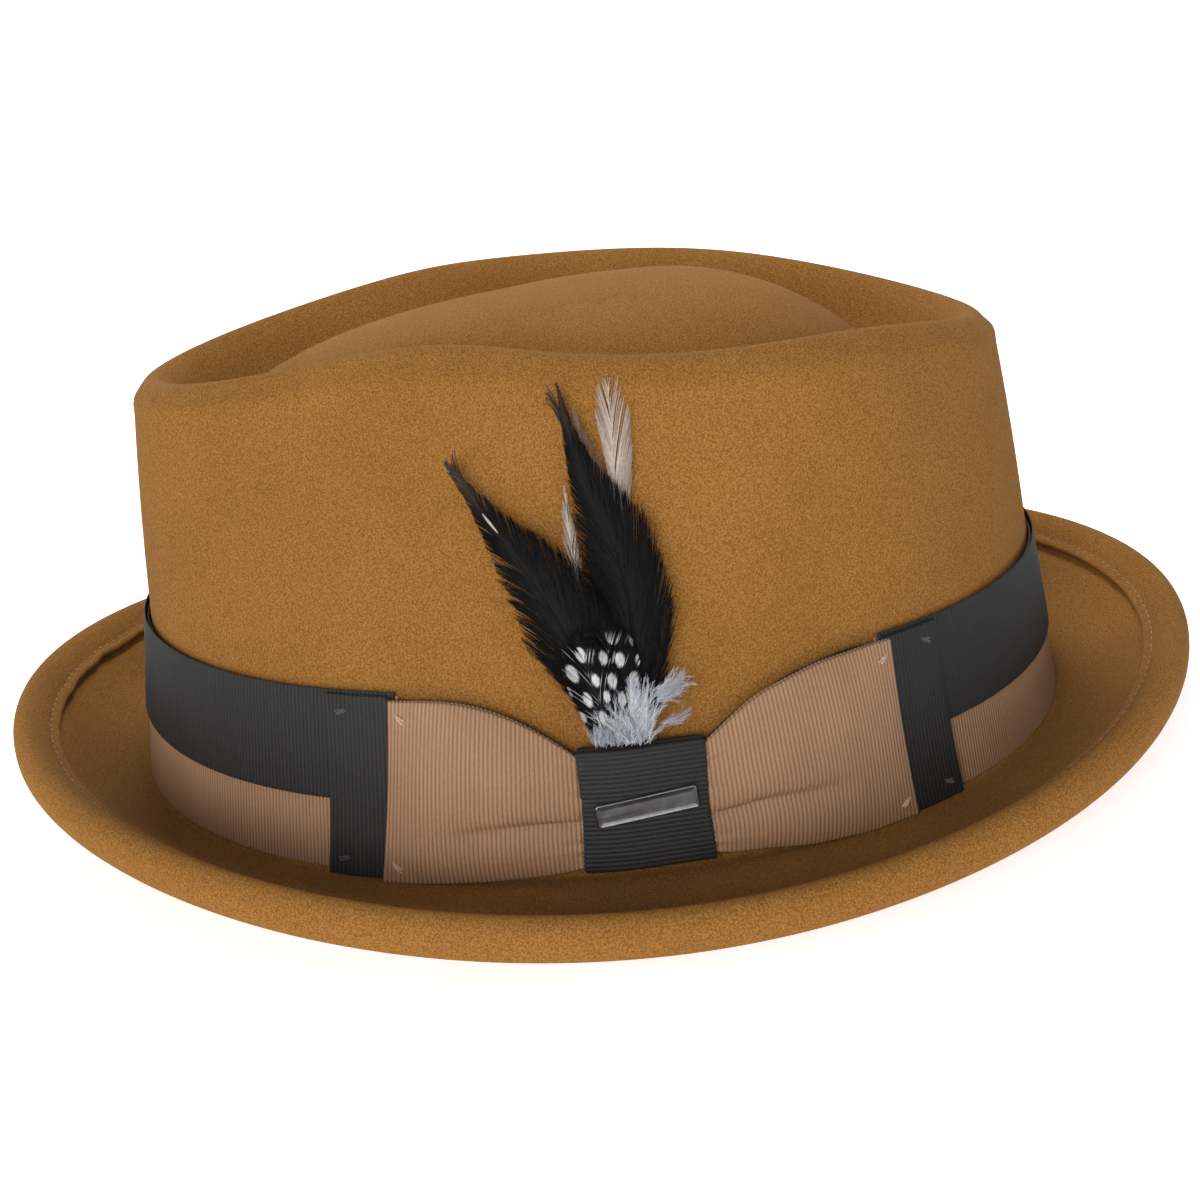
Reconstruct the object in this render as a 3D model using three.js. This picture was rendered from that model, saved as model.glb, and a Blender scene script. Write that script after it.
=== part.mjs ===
// A blocked felt fedora with a ridged teardrop crown, a turned-up stingy brim, a two-colour
// ribbon band, a ribbon bow with a blank plate and a feather bundle held behind the bow's knot.
// Millimetres, +Z up, wearer's front towards -Y, wearer's left (the bow's side) towards +X.
// Z = 0 is the flat ring under the brim's break, on which the hat rests.
import * as THREE from 'three';

// ---- driving sizes -------------------------------------------------------------------------
const FELT = 2.2;              // felt thickness
const GAP = 0.3;               // clearance between two pieces that lie on each other
const HEAD_LENGTH = 209.5;     // outside of the felt at the brim's break, front to back
const HEAD_WIDTH = 174.3;      // the same, side to side
const CROWN_SIDE = 97.5;       // ridge height at the sides
const CROWN_FRONT = 89.7;      // ridge height at the front
const CROWN_BACK = 86.8;       // ridge height at the back
const RIM_INSET_LENGTH = 19.1; // how much shorter the ridge is than the head oval
const RIM_INSET_WIDTH = 22.9;  // how much narrower it is
const TEAR = { shift: -3.5, taper: 5.6, corner: 5.4 }; // what pinches the ridge to a teardrop
const BRIM_FRONT = 24;         // from the felt wall to the middle of the brim's roll, at the front
const BRIM_SIDE = 29.5;        // the same at the sides
const BRIM_RISE_SIDE = 6.5;    // height of the middle of the roll at the sides
const BRIM_RISE_ENDS = 17.2;   // the same at the front and the back
const ROLL = 4.5;              // half the thickness of the rolled, turned-over brim edge
const BAND_HEIGHT = 36;        // width of the ribbon round the crown
const BAND_TAPER = 9.8;        // how much smaller the crown is at the top of the ribbon
const DARK_SHARE = 0.6;        // part of the ribbon's width that the dark ribbon covers
const RIBBON = 0.45;           // ribbon thickness
const KNOT_WIDTH = 22.8;       // along the band
const KNOT_HEIGHT = 22.6;
const KNOT_BOTTOM = 2;         // its lower edge above the band's
const KNOT_ANGLE = 87;         // degrees from the front, towards the wearer's left
const WING_FRONT = 47.6;       // reach of the bow's front wing from the knot's middle
const WING_BACK = 52.3;        // reach of its back wing
const UNDER_EXTRA = 13.2;      // how far the dark under-wing shows past the tan wing
const SWEAT_TOP = 50;          // top of the leather sweatband
const LEATHER = 1.0;           // sweatband thickness
const LINING = 0.5;            // lining thickness
const FEATHER_TOP = 92.5;      // tip of the tallest feather above the band's lower edge
const STEM_DEPTH = 20;         // length of the feather stem inside the pocket

const SEGMENTS = 64;
const KNOT_TOP = KNOT_BOTTOM + KNOT_HEIGHT;
const TURN = Math.PI * 2;
const rad = (degrees) => degrees * Math.PI / 180;
const mix = (a, b, t) => a + (b - a) * t;
const ease = (t) => t * t * (3 - 2 * t);

// ---- plan curves and levels ----------------------------------------------------------------
// An oval by its length and width; front, taper and corner terms turn it into a teardrop.
function oval(length, width, front, taper, corner, a) {
  const mean = (length + width) / 4 - corner;
  const stretch = (length - width) / 4;
  return mean + front * Math.cos(a) + stretch * Math.cos(2 * a)
    + taper * Math.cos(3 * a) + corner * Math.cos(4 * a);
}

// A height that is given at the front, the side and the back and runs smoothly between them.
function level(front, side, back, taper, corner, a) {
  const ends = (front + back) / 2;
  const mean = (ends + side) / 2 - corner;
  return mean + ((front - back) / 2 - taper) * Math.cos(a) + (ends - side) / 2 * Math.cos(2 * a)
    + taper * Math.cos(3 * a) + corner * Math.cos(4 * a);
}

const baseRadius = (a) => oval(HEAD_LENGTH, HEAD_WIDTH, 0, 0.6, 0, a);
const bandTopRadius = (a) => oval(HEAD_LENGTH - BAND_TAPER, HEAD_WIDTH - BAND_TAPER, 0.5, 0.45, 0, a);
const rimRadius = (a) => oval(HEAD_LENGTH - RIM_INSET_LENGTH, HEAD_WIDTH - RIM_INSET_WIDTH,
  TEAR.shift, TEAR.taper, TEAR.corner, a);
const rollRadius = (a) => oval(HEAD_LENGTH + 2 * BRIM_FRONT, HEAD_WIDTH + 2 * BRIM_SIDE, 0, 0, 0.3, a);
const rimLevel = (a) => level(CROWN_FRONT, CROWN_SIDE, CROWN_BACK, -0.6, -1.6, a);
const rollLevel = (a) => level(BRIM_RISE_ENDS, BRIM_RISE_SIDE, BRIM_RISE_ENDS, 0, 0, a);
const brimTop = (a) => level(FELT + 0.4, FELT, FELT + 0.8, 0, 0, a);
const bandBottom = (a) => brimTop(a) + GAP + 0.06;

// Outside radius of the felt wall at a height.
function wallRadius(a, z) {
  const z0 = bandBottom(a);
  const z1 = z0 + BAND_HEIGHT;
  if (z <= z1) {
    return mix(baseRadius(a), bandTopRadius(a), Math.max(z - z0, 0) / BAND_HEIGHT);
  }
  const t = Math.min((z - z1) / (rimLevel(a) - z1), 1);
  return mix(bandTopRadius(a), rimRadius(a), t) + 2 * t * (1 - t);
}

const place = (a, r, z) => [r * Math.sin(a), -r * Math.cos(a), z];

// ---- looks and groups ----------------------------------------------------------------------
// Colour, roughness and metalness of each material.
const LOOKS = {
  felt: [0xb07320, 0.95, 0], feltThread: [0x9c651c, 0.9, 0],
  leather: [0x4a2f1c, 0.6, 0], reed: [0xe0ddd2, 0.5, 0], tape: [0x2b2522, 0.8, 0],
  label: [0xe6e2d8, 0.8, 0], lining: [0x6b4a26, 0.4, 0], piping: [0x4a331c, 0.5, 0],
  tan: [0xa87858, 0.75, 0], dark: [0x3b3532, 0.75, 0],
  tanThread: [0x9a5f45, 0.8, 0], darkThread: [0x221e1c, 0.8, 0],
  plate: [0x6a6763, 0.35, 1], quill: [0x4a4238, 0.6, 0],
  white: [0xe6ddd2, 0.7, 0], grey: [0x6f6258, 0.7, 0], black: [0x151415, 0.45, 0],
  spotted: [0x2a2828, 0.6, 0], down: [0xd8d6d4, 0.95, 0],
};

const hat = new THREE.Group();
hat.name = 'fedora_hat';
const groups = {};
for (const name of ['body', 'inside', 'band', 'bow', 'feathers']) {
  groups[name] = new THREE.Group();
  hat.add(groups[name]);
}

// What a piece is called, which group it belongs to and how it looks.
const part = (group, look, name) => ({ group: groups[group], look, name });

function addMesh({ group, look, name }, geometry) {
  const [color, roughness, metalness] = LOOKS[look];
  const mesh = new THREE.Mesh(geometry, new THREE.MeshStandardMaterial({ color, roughness, metalness }));
  mesh.name = name;
  group.add(mesh);
  return mesh;
}

// ---- meshes --------------------------------------------------------------------------------
// Adds one closed body, turned outwards if its faces came out inside out.
function addBody(piece, points, faces) {
  let volume = 0;
  const corner = [0, 1, 2].map(() => new THREE.Vector3());
  for (const f of faces) {
    f.forEach((index, k) => corner[k].fromArray(points[index]));
    volume += corner[0].dot(corner[1].cross(corner[2]));
  }
  const order = volume < 0 ? [0, 2, 1] : [0, 1, 2];
  const geometry = new THREE.BufferGeometry();
  geometry.setAttribute('position', new THREE.Float32BufferAttribute(points.flat(), 3));
  geometry.setIndex(faces.flatMap((f) => order.map((k) => f[k])));
  geometry.computeVertexNormals();
  addMesh(piece, geometry);
}

// A thick sheet: at(u, v, side) gives its outer (side 1) and inner (side 0) points.
function addSheet(piece, nu, nv, closed, at) {
  const columns = closed ? nu : nu + 1;
  const points = [];
  const id = (i, j, side) => ((i % columns) * (nv + 1) + j) * 2 + side;
  for (let i = 0; i < columns; i += 1) {
    for (let j = 0; j <= nv; j += 1) {
      points.push(at(i / nu, j / nv, 0), at(i / nu, j / nv, 1));
    }
  }
  const faces = [];
  const quad = (p, q, r, s) => faces.push([p, q, r], [p, r, s]);
  for (let i = 0; i < nu; i += 1) {
    for (let j = 0; j < nv; j += 1) {
      quad(id(i, j, 1), id(i + 1, j, 1), id(i + 1, j + 1, 1), id(i, j + 1, 1));
      quad(id(i, j, 0), id(i, j + 1, 0), id(i + 1, j + 1, 0), id(i + 1, j, 0));
    }
    quad(id(i, 0, 0), id(i + 1, 0, 0), id(i + 1, 0, 1), id(i, 0, 1));
    quad(id(i, nv, 0), id(i, nv, 1), id(i + 1, nv, 1), id(i + 1, nv, 0));
  }
  if (!closed) {
    for (let j = 0; j < nv; j += 1) {
      quad(id(0, j, 0), id(0, j, 1), id(0, j + 1, 1), id(0, j + 1, 0));
      quad(id(nu, j, 0), id(nu, j + 1, 0), id(nu, j + 1, 1), id(nu, j, 1));
    }
  }
  addBody(piece, points, faces);
}

// A ring with a small closed section that follows a curve round the hat.
function addRing(piece, section) {
  const count = section(0).length;
  const points = [];
  for (let i = 0; i < SEGMENTS; i += 1) {
    const a = TURN * i / SEGMENTS;
    section(a).forEach(([r, z]) => points.push(place(a, r, z)));
  }
  const faces = [];
  for (let i = 0; i < SEGMENTS; i += 1) {
    const next = (i + 1) % SEGMENTS;
    for (let j = 0; j < count; j += 1) {
      const up = (j + 1) % count;
      faces.push([i * count + j, next * count + j, next * count + up]);
      faces.push([i * count + j, next * count + up, i * count + up]);
    }
  }
  addBody(piece, points, faces);
}

// ---- felt body -----------------------------------------------------------------------------
const GUTTER = 18;       // distance from the ridge in to the bottom of the gutter
const GUTTER_DEPTH = 12; // depth of the gutter below the ridge
const ISLAND = {         // the raised teardrop in the middle of the crown
  inset: 27,             // from the ridge in to its edge
  crest: 21,             // how far behind the middle it is highest
  rise: 2.9,             // its highest point above the ridge at the sides
  shoulder: 5,           // how far it rounds off at its edge
  frontFall: 10.4, frontReach: HEAD_LENGTH / 2 - 9,
  backFall: 19, backReach: HEAD_LENGTH / 2 - 53,
  sideFall: 6, sideReach: HEAD_WIDTH / 2 - 42,
};

// Height of the raised teardrop: it falls away from its crest to the front, back and sides.
function islandHeight(x, y) {
  const back = y - ISLAND.crest;
  const long = back < 0
    ? ISLAND.frontFall * (back / ISLAND.frontReach) ** 2
    : ISLAND.backFall * (back / ISLAND.backReach) ** 2;
  return CROWN_SIDE + ISLAND.rise - long - ISLAND.sideFall * (x / ISLAND.sideReach) ** 2;
}

// The felt's upper face, from near the crown's middle over the ridge and down to the brim's break.
function crownSection(a) {
  const rim = rimRadius(a);
  const top = rimLevel(a);
  const edge = rim - ISLAND.inset;
  const island = (r) => {
    const [x, y] = place(a, r, 0);
    return islandHeight(x, y) - ISLAND.shoulder * (r / edge) ** 5;
  };
  const points = [0.3, 0.55, 0.75, 0.88, 0.96, 1].map((f) => [edge * f, island(edge * f)]);
  const floor = top - GUTTER_DEPTH;
  points.push([rim - 23.5, mix(island(edge), floor, 0.62)]);
  points.push([rim - GUTTER, floor]);
  points.push([rim - 13.6, top - 9.3]);
  points.push([rim - 10.2, top - 4.8]);
  points.push([rim - 7.4, top - 1.5]);
  points.push([rim - 4.8, top]);
  points.push([rim - 2.5, top - 0.6]);
  points.push([rim - 0.8, top - 2.4]);
  const z1 = bandBottom(a) + BAND_HEIGHT;
  for (const t of [0.92, 0.78, 0.6, 0.4, 0.2, 0]) {
    const z = mix(z1, top, t);
    points.push([wallRadius(a, z), z]);
  }
  points.push([wallRadius(a, mix(brimTop(a), z1, 0.5)), mix(brimTop(a), z1, 0.5)]);
  points.push([baseRadius(a), brimTop(a)]);
  return points;
}

// The same face moved in by the felt's thickness.
function innerSection(points) {
  return points.map((p, i) => {
    const before = points[Math.max(i - 1, 0)];
    const after = points[Math.min(i + 1, points.length - 1)];
    const dr = after[0] - before[0];
    const dz = after[1] - before[1];
    const size = Math.hypot(dr, dz);
    return [p[0] + dz / size * FELT, p[1] - dr / size * FELT];
  });
}

// The brim: its upper face, the rolled edge turned over onto it, and its underside.
function brimSection(a) {
  const base = baseRadius(a);
  const r = rollRadius(a);
  const z = rollLevel(a);
  const k = ROLL / 4.5;
  const foot = [r - 4.7 * k, z - 2.5 * k];
  const points = [];
  for (const u of [0.25, 0.5, 0.75, 1]) {
    points.push([mix(base, foot[0], u), mix(brimTop(a), foot[1], u ** 1.7)]);
  }
  const roll = [[-4.6, -0.8], [-3.2, 0.7], [-1.3, 2.7], [0.3, 4.0], [1.7, 4.5], [3.2, 4.0],
    [4.2, 2.4], [4.5, 0.3], [4.2, -1.9], [3.1, -3.6], [1.3, -4.5], [-1.2, -4.8]];
  roll.forEach(([dr, dz]) => points.push([r + dr * k, z + dz * k]));
  const flat = base + 3.5;
  for (const u of [1, 0.66, 0.33]) {
    points.push([mix(flat, foot[0], u), (foot[1] - FELT) * u ** 1.7]);
  }
  points.push([flat, 0], [base - FELT, 0]);
  return points;
}

function addFelt() {
  const sections = [];
  for (let i = 0; i < SEGMENTS; i += 1) {
    const a = TURN * i / SEGMENTS;
    const crown = crownSection(a);
    const inside = innerSection(crown).slice(0, -1).reverse();
    sections.push([...crown, ...brimSection(a), ...inside].map(([r, z]) => place(a, r, z)));
  }
  const rows = sections[0].length;
  const points = sections.flat();
  const faces = [];
  const top = points.push([0, 0, islandHeight(0, 0)]) - 1;
  const under = points.push([0, 0, islandHeight(0, 0) - FELT]) - 1;
  for (let i = 0; i < SEGMENTS; i += 1) {
    const next = (i + 1) % SEGMENTS;
    const last = rows - 1;
    faces.push([top, i * rows, next * rows], [under, next * rows + last, i * rows + last]);
    for (let j = 0; j < last; j += 1) {
      faces.push([i * rows + j, i * rows + j + 1, next * rows + j + 1]);
      faces.push([i * rows + j, next * rows + j + 1, next * rows + j]);
    }
  }
  addBody(part('body', 'felt', 'felt_body'), points, faces);
}

// The line of stitching that holds the turned-over brim edge down.
function addWeltThread() {
  addRing(part('body', 'feltThread', 'brim_edge_thread'), (a) => {
    const k = ROLL / 4.5;
    const r = rollRadius(a) - 4.7 * k - GAP;
    const z = rollLevel(a) - 2.5 * k + GAP;
    return [[r - 0.5, z], [r, z], [r, z + 0.5], [r - 0.5, z + 0.5]];
  });
}

// ---- ribbons round the crown ---------------------------------------------------------------
// Distances along the wall are measured from the knot's middle, positive towards the back.
const STEPS = 1440;
const walk = [0];
for (let i = 1; i <= STEPS; i += 1) {
  const at = (k) => {
    const a = TURN * k / STEPS;
    return place(a, wallRadius(a, bandBottom(a) + BAND_HEIGHT / 2) + 1.5, 0);
  };
  const [p, q] = [at(i - 1), at(i)];
  walk.push(walk[i - 1] + Math.hypot(p[0] - q[0], p[1] - q[1]));
}
const GIRTH = walk[STEPS];
const KNOT_WALK = walk[Math.round(KNOT_ANGLE / 360 * STEPS)];

function angleAt(s) {
  const wanted = (((KNOT_WALK + s) % GIRTH) + GIRTH) % GIRTH;
  let low = 0;
  let high = STEPS;
  while (high - low > 1) {
    const middle = (low + high) >> 1;
    if (walk[middle] <= wanted) low = middle;
    else high = middle;
  }
  return TURN * (low + (wanted - walk[low]) / (walk[high] - walk[low])) / STEPS;
}

// A point by its distance along the wall, its height above the band's lower edge and its
// distance off the felt.
function onWall(s, h, off) {
  const a = angleAt(s);
  const z = bandBottom(a) + h;
  return place(a, wallRadius(a, z) + off, z);
}

const TAN_OFF = GAP;
const DARK_OFF = TAN_OFF + RIBBON + GAP;
const UNDER_OFF = DARK_OFF + RIBBON + GAP;
const WING_OFF = UNDER_OFF + RIBBON + GAP;
const STEM = 0.9;                       // thickness of the feather stem under the knot
const KNOT_IN = GAP + STEM + GAP + RIBBON; // inner faces of the knot's back and front plies
const KNOT_LIFT = KNOT_IN + GAP - UNDER_OFF;
const KNOT_OUT = WING_OFF + KNOT_LIFT + RIBBON + GAP + 0.25;
const BAND_END_FRONT = WING_FRONT - 6;  // the band's cut ends, hidden under the bow
const BAND_END_BACK = WING_BACK - 6;

function addBand(piece, h0, h1, off, fold) {
  const from = BAND_END_BACK + fold;
  const to = GIRTH - BAND_END_FRONT - fold;
  addSheet(piece, SEGMENTS - 12, 2, false, (u, v, side) => (
    onWall(mix(from, to, u), mix(h0, h1, v), off + side * RIBBON)));
}

// ---- bow -----------------------------------------------------------------------------------
// Upper and lower edges of a wing by how far it is from the knot (0) to its end (1).
const pinch = (t) => 1 - (1 - Math.min(t * 1.12, 1)) ** 2.4;
const wingTop = (t) => mix(KNOT_TOP - 1.2, BAND_HEIGHT - 0.8, pinch(t));
const wingBottom = (t) => mix(KNOT_BOTTOM + 1, 0, pinch(t));

// Puff of a wing: full in the middle, flat at the end, with a crease running out of the knot.
function wingPuff(t, v) {
  const puff = 2 * Math.sin(Math.PI * t) ** 0.8 * Math.sin(Math.PI * v) ** 0.7;
  const crease = 1.1 * Math.max(1 - t / 0.55, 0) * Math.exp(-(((v - 0.42) / 0.1) ** 2));
  return Math.max(puff - crease, 0);
}

function addWing(piece, direction, reach, off, extra, lift, puffed) {
  const inner = KNOT_WIDTH / 2 - 1.5;
  addSheet(piece, 14, 8, false, (u, v, side) => {
    const s = mix(inner, reach + extra, u);
    const t = Math.min(Math.max((s - KNOT_WIDTH / 2) / (reach - KNOT_WIDTH / 2), 0), 1);
    const h = mix(wingBottom(t), wingTop(t) + lift * Math.min(t * 5, 1), v);
    const puff = puffed ? wingPuff(t, v) : 0;
    const climb = KNOT_LIFT * Math.max(1 - t / 0.3, 0);
    return onWall(direction * s, h, off + puff + climb + side * RIBBON);
  });
}

// Sets a mesh on the wall: its X along the wall, its Y up the wall, its Z out of the wall.
function setOnWall(mesh, s, h, off) {
  const at = (ds, dh, dOff) => new THREE.Vector3(...onWall(s + ds, h + dh, off + dOff));
  const here = at(0, 0, 0);
  const along = at(0.5, 0, 0).sub(at(-0.5, 0, 0)).normalize();
  const up = at(0, 0.5, 0).sub(at(0, -0.5, 0));
  const out = along.clone().cross(up).normalize();
  const basis = new THREE.Matrix4().makeBasis(along, out.clone().cross(along), out);
  mesh.position.copy(here);
  mesh.quaternion.setFromRotationMatrix(basis);
}

// A small stitch that tacks a ribbon corner down.
const TACK = [0.6, 1.6, 0.35];
function addTack(piece, s, h, off) {
  setOnWall(addMesh(piece, new THREE.BoxGeometry(...TACK)), s, h, off + GAP + TACK[2] / 2);
}

// The knot: a ribbon loop round the wings' inner ends, open at its two sides.
function addKnot() {
  const across = 8;
  const box = (grow) => [
    [KNOT_IN - grow, KNOT_BOTTOM - grow], [KNOT_IN - grow, KNOT_TOP + grow],
    [KNOT_OUT + grow, KNOT_TOP + grow], [KNOT_OUT + grow, KNOT_BOTTOM - grow]];
  const stops = [0.07, 0.36, 0.64, 0.93];
  const rings = [box(0), box(RIBBON)].map((corners) => corners.flatMap((c, k) => {
    const d = corners[(k + 1) % 4];
    return stops.map((t) => [mix(c[0], d[0], t), mix(c[1], d[1], t)]);
  }));
  const count = rings[0].length;
  addSheet(part('bow', 'dark', 'bow_knot'), count, across, true, (u, v, side) => {
    const [off, h] = rings[side][Math.round(u * count) % count];
    return onWall(mix(-KNOT_WIDTH / 2, KNOT_WIDTH / 2, v), h, off);
  });
}

// A blank metal plate with a bevelled edge, pinned across the knot and tilted up towards the back.
const PLATE = { length: 18.4, height: 4.3, body: 0.35, bevel: 0.3, tilt: 6.5, rise: 0.8 };
function addPlate() {
  const x = PLATE.length / 2 - PLATE.bevel;
  const y = PLATE.height / 2 - PLATE.bevel;
  const outline = new THREE.Shape([[-x, -y], [x, -y], [x, y], [-x, y]].map((c) => new THREE.Vector2(...c)));
  const geometry = new THREE.ExtrudeGeometry(outline, {
    depth: PLATE.body, bevelThickness: PLATE.bevel, bevelSize: PLATE.bevel, bevelSegments: 1 });
  const mesh = addMesh(part('bow', 'plate', 'blank_plate'), geometry);
  setOnWall(mesh, 0.3, (KNOT_BOTTOM + KNOT_TOP) / 2 + PLATE.rise, KNOT_OUT + RIBBON + GAP + PLATE.bevel);
  mesh.rotateZ(rad(PLATE.tilt));
}

// ---- feathers ------------------------------------------------------------------------------
// One feather: a thin blade along a bent rib; half is its half-width, bend its sideways bow.
const VANE = 0.45;
const BASE_S = -4;
const BASE_H = KNOT_TOP + RIBBON + GAP + 0.2;
function addFeather(look, name, layer, root, tip, half, bend, fullness) {
  const off = 0.6 + layer * (VANE + GAP);
  const length = Math.hypot(tip[0] - root[0], tip[1] - root[1]);
  const across = [(tip[1] - root[1]) / length, -(tip[0] - root[0]) / length];
  addSheet(part('feathers', look, `feather_${name}`), 2, 12, false, (u, v, side) => {
    const rise = Math.sin(Math.PI * v) * bend;
    const width = half * Math.max(Math.sin(Math.PI * v ** fullness), 0.07) + 0.25;
    const w = (u * 2 - 1) * width + rise;
    const s = mix(root[0], tip[0], v) + across[0] * w;
    const h = mix(root[1], tip[1], v) + across[1] * w;
    return onWall(s, Math.max(h, BASE_H), off + side * VANE);
  });
}

// The flat bound stem that slides down between the felt and the knot.
function addStem() {
  addSheet(part('feathers', 'quill', 'feather_stem'), 4, 4, false, (u, v, side) => {
    const half = mix(3.2, 4.6, v);
    const s = BASE_S + mix(-half, half, u);
    const h = mix(BASE_H - GAP - STEM_DEPTH - 0.5, BASE_H - GAP, v);
    return onWall(s, h, GAP + side * STEM);
  });
}

// ---- sweatband and lining ------------------------------------------------------------------
const LINING_OFF = FELT + 0.7;
const SWEAT_OFF = FELT + 0.7 + LINING + 1.2;
const SWEAT_BOTTOM = 1.6;
// The lining's top panel hangs a little below the lowest part of the crown's top.
const TOP_POINTS = 9; // points of the crown's section that lie on the top, inside the ridge
const crownLow = Math.min(...Array.from({ length: SEGMENTS }, (_, i) => (
  Math.min(...crownSection(TURN * i / SEGMENTS).slice(0, TOP_POINTS).map((p) => p[1])))));
const LINING_TIP = crownLow - FELT - 4.6;

function insideSheet(piece, turn0, turn1, segments, z0, z1, rows, off, thick, closed) {
  addSheet(piece, segments, rows, closed, (u, v, side) => {
    const a = rad(mix(turn0, turn1, u));
    const z = mix(z0, z1, v);
    return place(a, wallRadius(a, z) - off - (1 - side) * thick, z);
  });
}

function addInside() {
  const cover = SWEAT_OFF + LEATHER + GAP + 0.2;
  insideSheet(part('inside', 'leather', 'sweatband'), 180.25, 539.75, SEGMENTS,
    SWEAT_BOTTOM, SWEAT_TOP, 3, SWEAT_OFF, LEATHER, false);
  insideSheet(part('inside', 'tape', 'sweatband_back_tape'), 174.5, 185.5, 4,
    SWEAT_BOTTOM + 6, SWEAT_TOP - 4, 2, cover, 0.4, false);
  insideSheet(part('inside', 'label', 'size_label'), 160, 168, 3,
    SWEAT_TOP - 19, SWEAT_TOP - 6, 1, cover, 0.3, false);
  insideSheet(part('inside', 'lining', 'lining_side'), 0, 360, SEGMENTS,
    SWEAT_TOP - 12, LINING_TIP - 1.6, 2, LINING_OFF, LINING, true);
  addInsideRing(part('inside', 'reed', 'sweatband_reed'), SWEAT_BOTTOM + 1, FELT + 0.8, 1.2);
  addInsideRing(part('inside', 'darkThread', 'sweatband_stitching'), SWEAT_BOTTOM + 4,
    SWEAT_OFF + LEATHER + GAP, 0.4);
  addInsideRing(part('inside', 'piping', 'lining_piping'), LINING_TIP - 1.3, FELT + 0.9, 1.1);
}

// A square cord round the inside of the crown at a height, a distance in from the felt's outside.
function addInsideRing(piece, z, off, size) {
  addRing(piece, (a) => {
    const r = wallRadius(a, z) - off;
    return [[r - size, z], [r, z], [r, z + size], [r - size, z + size]];
  });
}

// The lining's top panel, a shallow dome that hangs under the crown.
function addLiningTip() {
  const rings = [0.3, 0.6, 0.85, 1];
  const points = [[0, 0, LINING_TIP + 6], [0, 0, LINING_TIP + 6 - LINING]];
  for (let i = 0; i < SEGMENTS; i += 1) {
    const a = TURN * i / SEGMENTS;
    const edge = wallRadius(a, LINING_TIP) - FELT - 2.1;
    for (const f of rings) {
      const z = LINING_TIP + 6 * (1 - f * f);
      points.push(place(a, edge * f, z), place(a, edge * f, z - LINING));
    }
  }
  const id = (i, j, side) => 2 + ((i % SEGMENTS) * rings.length + j) * 2 + side;
  const faces = [];
  for (let i = 0; i < SEGMENTS; i += 1) {
    faces.push([0, id(i, 0, 0), id(i + 1, 0, 0)], [1, id(i + 1, 0, 1), id(i, 0, 1)]);
    for (let j = 0; j < rings.length - 1; j += 1) {
      faces.push([id(i, j, 0), id(i, j + 1, 0), id(i + 1, j + 1, 0)]);
      faces.push([id(i, j, 0), id(i + 1, j + 1, 0), id(i + 1, j, 0)]);
      faces.push([id(i, j, 1), id(i + 1, j + 1, 1), id(i, j + 1, 1)]);
      faces.push([id(i, j, 1), id(i + 1, j, 1), id(i + 1, j + 1, 1)]);
    }
    const e = rings.length - 1;
    faces.push([id(i, e, 0), id(i, e, 1), id(i + 1, e, 1)], [id(i, e, 0), id(i + 1, e, 1), id(i + 1, e, 0)]);
  }
  addBody(part('inside', 'lining', 'lining_tip'), points, faces);
}

// ---- the hat -------------------------------------------------------------------------------
addFelt();
addWeltThread();
addInside();
addLiningTip();
addBand(part('band', 'tan', 'hatband_tan'), 0, BAND_HEIGHT - 1, TAN_OFF, 0);
addBand(part('band', 'dark', 'hatband_dark'), BAND_HEIGHT * (1 - DARK_SHARE), BAND_HEIGHT, DARK_OFF, 0.5);
addKnot();
addPlate();

for (const [end, direction, reach] of [['front', -1, WING_FRONT], ['back', 1, WING_BACK]]) {
  addWing(part('bow', 'dark', `under_wing_${end}`), direction, reach, UNDER_OFF, UNDER_EXTRA, 0.7, false);
  addWing(part('bow', 'tan', `bow_wing_${end}`), direction, reach, WING_OFF, 0, 0, true);
  for (const [corner, h] of [['upper', BAND_HEIGHT - 3.2], ['lower', 3.4]]) {
    addTack(part('bow', 'tanThread', `tack_wing_${end}_${corner}`),
      direction * (reach - 2.4), h, WING_OFF + RIBBON + 0.5);
    addTack(part('bow', 'darkThread', `tack_under_${end}_${corner}`),
      direction * (reach + UNDER_EXTRA - 3), h, UNDER_OFF + RIBBON);
  }
}

// Distances from the bundle's middle and shares of the way up to the tallest tip.
const up = (share) => mix(BASE_H, FEATHER_TOP, share);
addStem();
addFeather('white', 'white_long', 0, [BASE_S + 3, up(0.03)], [BASE_S + 5, up(1)], 4.2, -0.5, 1.3);
addFeather('white', 'white_short', 1, [BASE_S - 2, up(0.03)], [BASE_S - 6.5, up(0.74)], 3.4, -1.5, 1.0);
addFeather('grey', 'grey', 2, [BASE_S + 2, up(0.03)], [BASE_S - 4, up(0.96)], 5.2, 1.5, 0.9);
addFeather('black', 'black_tall', 3, [BASE_S + 3, up(0.03)], [BASE_S - 7, up(0.99)], 6.2, 3.0, 0.85);
addFeather('black', 'black_front', 4, [BASE_S - 1, up(0.04)], [BASE_S - 33, up(0.79)], 6.4, 2.5, 0.8);
addFeather('spotted', 'guinea_rear', 5, [BASE_S + 1, up(0)], [BASE_S - 4, up(0.37)], 6.5, 0, 0.8);
addFeather('spotted', 'guinea_front', 6, [BASE_S - 1, up(0)], [BASE_S - 9, up(0.36)], 6.0, 0, 0.8);
addFeather('down', 'down', 7, [BASE_S + 1, up(0)], [BASE_S + 5, up(0.25)], 7.0, 0, 0.7);

export default hat;
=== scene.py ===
"""Looks of the felt fedora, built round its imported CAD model: felt, ribbons, plate, feathers, inside."""
import math
import bpy
import numpy as np
from mathutils import Matrix, Vector


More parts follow.
